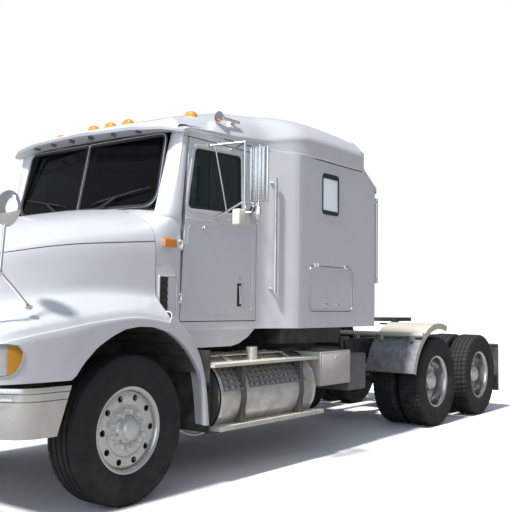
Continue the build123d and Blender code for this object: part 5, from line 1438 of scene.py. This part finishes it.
def door_mirror():
    """Tall mirror on its posts, a round one and a small cream housing below."""
    post_x, post_y = -1.050, 1.300
    head_x, head_y = -1.150, 1.372
    steel = [add_rod("post", (post_x, post_y, 2.095), (post_x, post_y, 2.702), 0.0115, 16),
             add_rod("arm", (-0.931, 1.031, 2.680), (post_x, post_y, 2.700), 0.010, 14),
             add_rod("arm", (-1.215, 1.031, 2.694), (post_x, post_y, 2.700), 0.009, 14),
             add_rod("arm", (-1.009, 1.031, 2.097), (post_x, post_y, 2.225), 0.010, 14),
             add_rod("arm", (-1.250, 1.031, 2.105), (post_x, post_y, 2.112), 0.009, 14),
             add_rod("strut", (-0.948, 1.070, 2.674), (-1.030, 1.135, 2.140), 0.0065, 12),
             add_rod("head_arm", (post_x, post_y, 2.690), (head_x, head_y, 2.690), 0.009, 12),
             add_rod("head_arm", (post_x, post_y, 2.208), (head_x, head_y, 2.208), 0.009, 12),
             add_rod("head_pin", (head_x, head_y, 2.200), (head_x, head_y, 2.698), 0.008, 12),
             add_rod("round_arm", (post_x, post_y, 2.130), (-1.080, 1.368, 2.130), 0.008, 12)]
    for x, z in ((-0.931, 2.680), (-1.215, 2.694), (-1.009, 2.097), (-1.250, 2.105)):
        foot = add_box("foot", x - 0.028, x + 0.028, 1.0295, 1.0365, z - 0.020, z + 0.014)
        steel.append(rounded(foot, 0.003))
    wide, tall, foot_z = 0.152, 0.445, 2.226
    across_way, rear_way = Vector((-0.437, 0.8996, 0)), Vector((-0.8996, -0.437, 0))
    outline = []
    steps = 50
    for step in range(steps + 1):
        w = step / steps
        depth = 0.012 - 0.022 * (1 - (2 * w - 1) ** 4) - 0.0060 * math.cos(2 * math.pi * 5 * w)
        outline.append((w * wide, depth))
    outline += [(wide, 0.046), (0.0, 0.046)]
    origin = Vector((-1.113, 1.300, 0))
    flat = [origin + across_way * w + rear_way * d for w, d in outline]
    shell = add_outline("mirror_shell", [(p.x, p.y) for p in flat], "z", foot_z, foot_z + tall)
    rounded(shell, 0.005, 3, 60)
    smooth(shell, 50)
    corners = [(0.006, 0.044), (wide - 0.006, 0.044), (wide - 0.006, 0.0485), (0.006, 0.0485)]
    face = [origin + across_way * w + rear_way * d for w, d in corners]
    glass_plate = add_outline("mirror_plate", [(p.x, p.y) for p in face], "z",
                              foot_z + 0.010, foot_z + tall - 0.010)
    turn = Vector((0.90, -0.43, 0.02)).to_track_quat("Y", "Z").to_matrix().to_4x4()
    back = [(0.0, 0.034), (0.030, 0.032), (0.062, 0.022), (0.082, 0.008), (0.0895, -0.004), (0.0885, -0.012),
            (0.083, -0.012), (0.0, -0.010)]
    front = [(0.0, -0.020), (0.045, -0.017), (0.0825, -0.0125), (0.0825, -0.010), (0.0, -0.010)]
    dish = add_turned("round_back", back, (0, 0, 0), 40)
    disc = add_turned("round_glass", front, (0, 0, 0), 40)
    for part in (dish, disc):
        part.data.transform(Matrix.Translation((-1.092, 1.372, 2.122)) @ turn)
        smooth(part, 40)
    cream = rounded(add_box("cream_housing", -1.025, -0.935, 1.262, 1.338, 2.018, 2.150), 0.016, 4)
    smooth(cream, 50)
    return (joined("mirror_frame", [shell, dish] + [smooth(part, 40) for part in steel]),
            joined("mirror_glasses", [glass_plate, disc]), cream)


rubber, pressings, handle = door_details()
mirror_frame, mirror_glasses, cream = door_mirror()
for side, sign in SIDES:
    body = f"door_{side}"
    settled(sided(rubber, sign), body, "rubber", black_rubber_and_shade)
    settled(sided(pressings, sign), body, "paint", paint)
    settled(sided(handle, sign), body, "chrome", chrome)
    settled(sided(mirror_frame, sign), body, "chrome", polished, f"door_mirror_{side}")
    settled(sided(mirror_glasses, sign), body, "glass", mirror_face)
    settled(sided(cream, sign), body, "trim", tread_plate)
for piece in (rubber, pressings, handle, mirror_frame, mirror_glasses, cream):
    bpy.data.objects.remove(piece)

# Sleeper windows with their frosted panes
WINDOW = [(-2.680, 2.270), (-2.400, 2.270), (-2.400, 2.645), (-2.680, 2.645)]


def sleeper_window():
    """Rubber frame with its two vent ends, and the frosted pane with fine upright ribs."""
    wall = on_wall(SLEEPER_HALF - 0.004)
    ring = frame_round("sleeper_window_frame", WINDOW, 0.009, 0.005, 0.040, wall, 0.0105, 0.002)
    ends = [rounded(add_box("vent_end", -2.668, -2.412, 1.172, 1.1845, z0, z1), 0.005, 3)
            for z0, z1 in ((2.272, 2.302), (2.608, 2.643))]
    rows = []
    for number in range(45):
        x = -2.678 + number * 0.276 / 44
        depth = 1.1690 + 0.0012 * math.cos(number * math.pi)
        rows.append([Vector((x, depth, z)) for z in (2.274, 2.400, 2.520, 2.641)])
    frosted = outwards(add_skin("frosted_pane", rows), (-2.5, 0, 2.4))
    use_modifier(frosted, "SOLIDIFY", thickness=0.003, offset=-1.0)
    return smooth(joined("sleeper_window_frame", [ring, *ends]), 40), smooth(frosted, 60)


window_frame, frosted = sleeper_window()
settled(both_sides(window_frame), "chassis", "rubber", black_rubber_and_shade)
# The pane's glow is painted sky light.
settled(both_sides(frosted), "chassis", "glass", frosted_pane)

# Luggage doors: bright trim and latches
LUGGAGE = [(-2.965, 1.340), (-2.175, 1.340), (-2.175, 1.770), (-2.965, 1.770)]


def luggage_details():
    wall = on_wall(SLEEPER_HALF + 0.0005)
    parts = [frame_round("luggage_trim", LUGGAGE, -0.010, 0.020, 0.05, wall, 0.0042, 0.0015)]
    for x in (-2.46, -2.68):
        plate = add_box("latch_plate", x - 0.034, x + 0.034, 1.1800, 1.1850, 1.386, 1.420)
        pull = add_box("latch_pull", x - 0.022, x + 0.022, 1.1845, 1.1925, 1.392, 1.408)
        parts += [rounded(plate, 0.004), rounded(pull, 0.003)]
    return smooth(joined("luggage_trim", parts), 40)


trim_ring = luggage_details()
for side, sign in SIDES:
    settled(sided(trim_ring, sign), f"luggage_door_{side}", "chrome", chrome)
bpy.data.objects.remove(trim_ring)

# Grille surround and the wire mesh behind the bars, as (y, z)
GRILLE_OUTER = [(-0.432, 0.972), (0.432, 0.972), (0.432, 1.515), (-0.432, 1.515)]
GRILLE_INNER = [(-0.396, 1.000), (0.396, 1.000), (0.396, 1.488), (-0.396, 1.488)]
surround = add_ring("grille_surround", rounded_outline(GRILLE_OUTER, 0.05),
                    rounded_outline(GRILLE_INNER, 0.03), lambda a, b, d: (1.184 + d, a, b), 0.016)
rounded(surround, 0.004, 3, 50)
settled(smooth(surround, 40), "hood", "chrome", chrome)
wires = []
for number in range(31):
    y = -0.390 + number * 0.026
    wires.append(add_box("wire", 1.138, 1.1395, y - 0.0012, y + 0.0012, 0.985, 1.490))
for number in range(20):
    z = 0.992 + number * 0.026
    wires.append(add_box("wire", 1.1395, 1.141, -0.395, 0.395, z - 0.0012, z + 0.0012))
settled(joined("grille_mesh", wires), "hood", "frame", black_rubber_and_shade)

# Fuel tank: the pierced plates, end rings and step plates
TANK_Y, TANK_Z, TANK_R = 0.860, 0.650, 0.320


def around_tank(angle, radius):
    """Place as (y, z) at an angle in degrees about the tank's middle line."""
    return TANK_Y + radius * math.cos(math.radians(angle)), TANK_Z + radius * math.sin(math.radians(angle))


def pierced_plate(x0, x1, columns, rows, angle_low, angle_high):
    """Curved plate with rows of oblong holes: a grid of cells, each inset and opened."""
    reach = TANK_R + 0.0065
    arc = math.radians(angle_high - angle_low) * reach
    bpy.ops.object.select_all(action="DESELECT")
    bpy.ops.mesh.primitive_grid_add(x_subdivisions=columns, y_subdivisions=rows, size=1)
    piece = named("pierced_plate")
    for vertex in piece.data.vertices:
        vertex.co = Vector((x0 + (vertex.co.x + 0.5) * (x1 - x0), (vertex.co.y + 0.5) * arc, 0))
    only(piece)
    bpy.ops.object.mode_set(mode="EDIT")
    bpy.ops.mesh.select_all(action="SELECT")
    bpy.ops.mesh.inset(thickness=0.0140, use_individual=True)
    bpy.ops.mesh.delete(type="FACE")
    bpy.ops.object.mode_set(mode="OBJECT")
    for vertex in piece.data.vertices:
        y, z = around_tank(angle_low + math.degrees(vertex.co.y / reach), reach)
        vertex.co = Vector((vertex.co.x, y, z))
    outwards(piece, (-1.6, TANK_Y, TANK_Z))
    use_modifier(piece, "SOLIDIFY", thickness=0.003, offset=1.0)
    return piece


plates = [pierced_plate(-1.225, -0.985, 3, 4, 10, 47), pierced_plate(-2.130, -1.325, 11, 4, 12, 47)]
settled(both_sides(joined("pierced_plates", plates)), "chassis", "alloy", worn_steel)
rings = []
for x0, x1 in ((-0.985, -0.948), (-2.302, -2.262)):
    profile = [(0.300, x1), (0.318, x1), (0.3235, x1 - 0.006), (0.3235, x0 + 0.006), (0.318, x0), (0.300, x0),
               (0.300, x1)]
    rings.append(smooth(add_turned("tank_ring", profile, (0, TANK_Y, TANK_Z), 64, "x"), 40))
settled(both_sides(joined("tank_rings", rings)), "chassis", "alloy", polished)


def tread_bars(first_x, pitch, count, length, first_y, spacing, rows, low):
    """Rows of short raised bars on a step: count along each row, from its rear end forward."""
    bars = []
    for row in range(rows):
        y = first_y + row * spacing
        for number in range(count):
            x = first_x + number * pitch
            bars.append(add_box("tread_bar", x, x + length, y - 0.003, y + 0.003, low, low + 0.0025))
    return bars


def step_plates():
    """Cream non-slip plates on the tank top, and rows of bars on both steps."""
    parts = []
    for x0, x1 in ((-1.120, -0.860), (-1.560, -1.165), (-2.010, -1.660)):
        parts.append(rounded(add_box("top_plate", x0, x1, 0.640, 1.010, 0.9715, 0.9775), 0.002))
        count = int((x1 - x0 - 0.04) / 0.045)
        parts += tread_bars(x0 + 0.03, 0.045, count, 0.024, 0.665, 0.040, 9, 0.977)
    parts += tread_bars(-2.310, 0.048, 30, 0.026, 1.055, 0.048, 3, 0.9265)
    parts += tread_bars(-2.375, 0.049, 30, 0.026, 1.110, 0.055, 2, 0.4395)
    return joined("step_plates", parts)


settled(both_sides(step_plates()), "chassis", "alloy", tread_plate)

# Tool box doors and latches
box_parts = [rounded(add_box("box_door", -2.905, -2.412, 1.179, 1.1845, 0.672, 0.940), 0.003)]
box_parts.append(rounded(add_box("box_latch", -2.690, -2.630, 1.184, 1.193, 0.895, 0.920), 0.003))
settled(both_sides(smooth(joined("box_doors", box_parts), 40)), "chassis", "alloy", box_cream)

# Drive line between the rails: gearbox, shafts and their joints
drive = [rounded(add_box("gearbox", -1.950, -1.150, -0.21, 0.21, 0.70, 1.12), 0.06, 4),
         rounded(add_box("bell_housing", -1.150, -0.980, -0.27, 0.27, 0.66, 1.14), 0.05, 4),
         add_rod("output", (-1.950, 0, 0.84), (-2.080, 0, 0.84), 0.075, 24),
         add_rod("shaft", (-2.080, 0, 0.84), (-3.300, 0, 0.76), 0.052, 24),
         add_rod("bearing", (-3.290, 0, 0.76), (-3.390, 0, 0.755), 0.090, 28),
         add_rod("shaft", (-3.390, 0, 0.755), (-4.640, 0, 0.60), 0.052, 24),
         add_rod("joint", (-4.640, 0, 0.60), (-4.740, 0, 0.59), 0.080, 24),
         add_rod("link_shaft", (-5.170, 0, 0.57), (-5.960, 0, 0.57), 0.048, 24)]
for x, z in ((-2.080, 0.84), (-3.390, 0.755), (-4.640, 0.60), (-5.170, 0.57), (-5.960, 0.57)):
    flat_yoke = add_box("yoke", x - 0.045, x + 0.045, -0.075, 0.075, z - 0.028, z + 0.028)
    upright_yoke = add_box("yoke", x - 0.040, x + 0.040, -0.028, 0.028, z - 0.075, z + 0.075)
    drive += [rounded(flat_yoke, 0.012), rounded(upright_yoke, 0.012)]
settled(smooth(joined("drive_line", drive), 40), "chassis", "cast", cast)


def air_tanks():
    """Air tank in its bands beside the rail, and the two struts on its outer side."""
    middle = (-3.700, 0.590, 0.700)
    end = [(0.0, 0.30), (0.055, 0.297), (0.095, 0.280), (0.115, 0.245), (0.120, 0.20)]
    profile = end + [(radius, -distance) for radius, distance in reversed(end)]
    tanks = [smooth(add_turned("air_tank", profile, middle, 40, "x"), 40)]
    for x in (-3.84, -3.56):
        rear, front = x - middle[0] - 0.018, x - middle[0] + 0.018
        band = [(0.1205, rear), (0.1245, rear), (0.1245, front), (0.1205, front), (0.1205, rear)]
        tanks.append(smooth(add_turned("band", band, middle, 40, "x"), 40))
        tanks.append(add_box("hanger", x - 0.018, x + 0.018, 0.432, 0.480, 0.64, 0.80))
    for x0, x1, z0, z1 in ((-3.420, -3.560, 1.040, 0.560), (-3.520, -3.660, 1.060, 0.620)):
        tanks.append(add_rod("strut", (x0, 0.760, z0), (x1, 0.760, z1), 0.018, 14))
    tanks.append(rounded(add_box("strut_foot", -3.700, -3.300, 0.740, 0.780, 0.575, 0.610), 0.006))
    tanks.append(add_box("strut_arm", -3.660, -3.620, 0.430, 0.760, 0.800, 0.840))
    tanks.append(rounded(add_box("strut_head", -3.560, -3.400, 0.735, 0.785, 1.030, 1.070), 0.006))
    tanks.append(add_box("strut_arm", -3.500, -3.460, 0.430, 0.745, 0.960, 1.000))
    tanks.append(add_rod("strut_tie", (-3.480, 0.745, 0.980), (-3.475, 0.760, 1.050), 0.016, 12))
    tanks.append(add_rod("strut_tie", (-3.640, 0.745, 0.820), (-3.585, 0.760, 0.780), 0.016, 12))
    return joined("air_tanks", tanks)


settled(both_sides(air_tanks()), "chassis", "frame", frame_paint)

# Fifth wheel: release bar with its eye, as (x, y), and wear strips
EYE_OUTER = [(-5.585, 0.515), (-5.505, 0.515), (-5.505, 0.575), (-5.585, 0.575)]
EYE_INNER = [(-5.570, 0.530), (-5.520, 0.530), (-5.520, 0.560), (-5.570, 0.560)]
release_bar = add_box("release_bar", -5.560, -5.530, 0.10, 0.52, COUPLING_FACE - 0.075, COUPLING_FACE - 0.052)
coupling_parts = [rounded(release_bar, 0.005),
                  add_ring("release_eye", rounded_outline(EYE_OUTER, 0.02), rounded_outline(EYE_INNER, 0.012),
                           lambda a, b, d: (a, b, COUPLING_FACE - 0.072 + d), 0.014)]
for y in (-0.30, -0.20, 0.20, 0.30):
    strip = add_box("wear_strip", -5.60, -5.22, y - 0.012, y + 0.012, COUPLING_FACE - 0.004, COUPLING_FACE)
    coupling_parts.append(rounded(strip, 0.001))
settled(smooth(joined("coupling_details", coupling_parts), 40), "fifth_wheel_plate", "cast", worn_steel)

# Bolt heads along the frame rails
bolts = []
for number in range(34):
    x = -2.9 - 0.11 * number
    for z in (0.800, 0.950):
        bolts.append(add_rod("bolt", (x, 0.4320, z), (x, 0.4400, z), 0.011, 6))
settled(both_sides(joined("rail_bolts", bolts)), "chassis", "frame", frame_paint)


# Seats and bed

def seat():
    """Cushion, back and bolsters of the left seat, and its base with bellows."""
    cushions = [add_pillow("seat_cushion", -1.555, -1.025, 0.255, 0.745, 1.555, 1.680, 0.045, 0.016)]
    back = add_pillow("seat_back", -0.075, 0.055, -0.235, 0.235, 0.0, 0.70, 0.045, 0.012)
    lean = Matrix.Rotation(math.radians(-9.5), 4, "Y")
    back.data.transform(Matrix.Translation((-1.505, 0.500, 1.715)) @ lean)
    cushions.append(back)
    for y in (0.300, 0.700):
        bolster = add_pillow("bolster", -1.520, -1.060, y - 0.050, y + 0.050, 1.620, 1.700, 0.035, 0.006)
        cushions.append(bolster)
    base = [rounded(add_box("seat_base", -1.480, -1.120, 0.330, 0.670, 1.235, 1.290), 0.012),
            rounded(add_box("seat_top", -1.500, -1.080, 0.300, 0.700, 1.510, 1.552), 0.012)]
    for number in range(5):
        z = 1.300 + number * 0.042
        base.append(rounded(add_box("bellows", -1.460, -1.140, 0.350, 0.650, z, z + 0.034), 0.014, 3))
    return joined("seat_cushions", cushions), smooth(joined("seat_bases", base), 40)


cushions, bases = seat()
cushions = both_sides(cushions)
settled(cushions, "chassis", "cloth", cloth, "seats")
settled(both_sides(bases), "chassis", "trim", trim)
bed = add_pillow("mattress", -3.378, -2.162, -1.075, 1.075, 1.832, 1.968, 0.05, 0.010)
settled(bed, "chassis", "cloth", cloth, "bunk")
bed_base = rounded(add_box("bed_base", -3.395, -2.125, -1.120, 1.120, 1.800, 1.829), 0.006)
bed_front = rounded(add_box("bed_front", -2.150, -2.122, -1.120, 1.120, 1.242, 1.800), 0.006)
settled(smooth(joined("bed_frame", [bed_base, bed_front]), 40), "chassis", "trim", trim)


# Floor, light and camera

def add_floor():
    """Floor that looks white and throws back less light than that."""
    bpy.ops.object.select_all(action="DESELECT")
    bpy.ops.mesh.primitive_plane_add(size=160, location=(0, 0, 0))
    floor = bpy.context.object
    floor.name = "floor"
    material = bpy.data.materials.new("pale_floor")
    material.use_nodes = True
    nodes, links = material.node_tree.nodes, material.node_tree.links
    shader = nodes["Principled BSDF"]
    shader.inputs["Roughness"].default_value = 0.9
    path = nodes.new("ShaderNodeLightPath")
    dim, white = (0.28, 0.275, 0.265, 1), (0.95, 0.95, 0.95, 1)
    colour = mix_colour(nodes, links, path.outputs["Is Camera Ray"], dim, white)
    links.new(colour, shader.inputs["Base Color"])
    floor.data.materials.append(material)


def add_world():
    """White background, and a dim sky of its own for the light."""
    world = bpy.data.worlds.new("studio")
    bpy.context.scene.world = world
    world.use_nodes = True
    nodes, links = world.node_tree.nodes, world.node_tree.links
    nodes.clear()
    place = nodes.new("ShaderNodeTexCoord").outputs["Generated"]
    split = nodes.new("ShaderNodeSeparateXYZ")
    links.new(place, split.inputs[0])
    height = nodes.new("ShaderNodeValToRGB")
    links.new(split.outputs["Z"], height.inputs["Fac"])
    stops = height.color_ramp.elements
    stops[0].position = 0.0
    stops[0].color = (0.70, 0.70, 0.72, 1)
    stops[1].position = 0.85
    stops[1].color = (0.66, 0.75, 0.92, 1)
    middle = height.color_ramp.elements.new(0.22)
    middle.color = (0.74, 0.77, 0.83, 1)
    light = nodes.new("ShaderNodeBackground")
    light.inputs["Strength"].default_value = 0.42
    links.new(height.outputs["Color"], light.inputs["Color"])
    white = nodes.new("ShaderNodeBackground")
    white.inputs["Color"].default_value = (1, 1, 1, 1)
    white.inputs["Strength"].default_value = 1.0
    path = nodes.new("ShaderNodeLightPath")
    mix = nodes.new("ShaderNodeMixShader")
    links.new(path.outputs["Is Camera Ray"], mix.inputs["Fac"])
    links.new(light.outputs[0], mix.inputs[1])
    links.new(white.outputs[0], mix.inputs[2])
    out = nodes.new("ShaderNodeOutputWorld")
    links.new(mix.outputs[0], out.inputs["Surface"])


def add_sun():
    """Sun high in front, and pale blue light of the open sky ahead."""
    lamps = (("sun", 5.0, 5, (1.0, 0.985, 0.95), (0.573, 0.02, 0.82)),
             ("front_sky", 1.6, 70, (0.74, 0.86, 1.0), (0.97, 0.13, 0.22)))
    for name, energy, angle, colour, toward in lamps:
        data = bpy.data.lights.new(name, "SUN")
        data.energy = energy
        data.angle = math.radians(angle)
        data.color = colour
        lamp = bpy.data.objects.new(name, data)
        bpy.context.scene.collection.objects.link(lamp)
        lamp.rotation_euler = Vector(toward).to_track_quat("Z", "Y").to_euler()


CAMERA_PLACE = Vector((3.873 + STORED_SHIFT, 5.167, 1.398))
CAMERA_YAW = math.radians(217.254)
CAMERA_PITCH = math.radians(3.525)
CAMERA_ROLL = math.radians(0.735)
SENSOR = 36.0
PICTURE_WIDTH_IN_PIXELS = 512
FOCAL_LENGTH_IN_PIXELS = 788.49
LENS = FOCAL_LENGTH_IN_PIXELS / PICTURE_WIDTH_IN_PIXELS * SENSOR


def add_camera():
    data = bpy.data.cameras.new("camera")
    data.sensor_width = SENSOR
    data.lens = LENS
    camera = bpy.data.objects.new("camera", data)
    bpy.context.scene.collection.objects.link(camera)
    level_part = math.cos(CAMERA_PITCH)
    forward = Vector((level_part * math.cos(CAMERA_YAW), level_part * math.sin(CAMERA_YAW),
                      math.sin(CAMERA_PITCH)))
    level = forward.cross(Vector((0, 0, 1))).normalized()
    up = level.cross(forward)
    right = level * math.cos(CAMERA_ROLL) + up * math.sin(CAMERA_ROLL)
    top = up * math.cos(CAMERA_ROLL) - level * math.sin(CAMERA_ROLL)
    turn = Matrix((right, top, -forward)).transposed().to_4x4()
    camera.matrix_world = Matrix.Translation(CAMERA_PLACE) @ turn
    bpy.context.scene.camera = camera


add_floor()
add_world()
add_sun()
add_camera()
bpy.context.scene.view_settings.view_transform = "Standard"
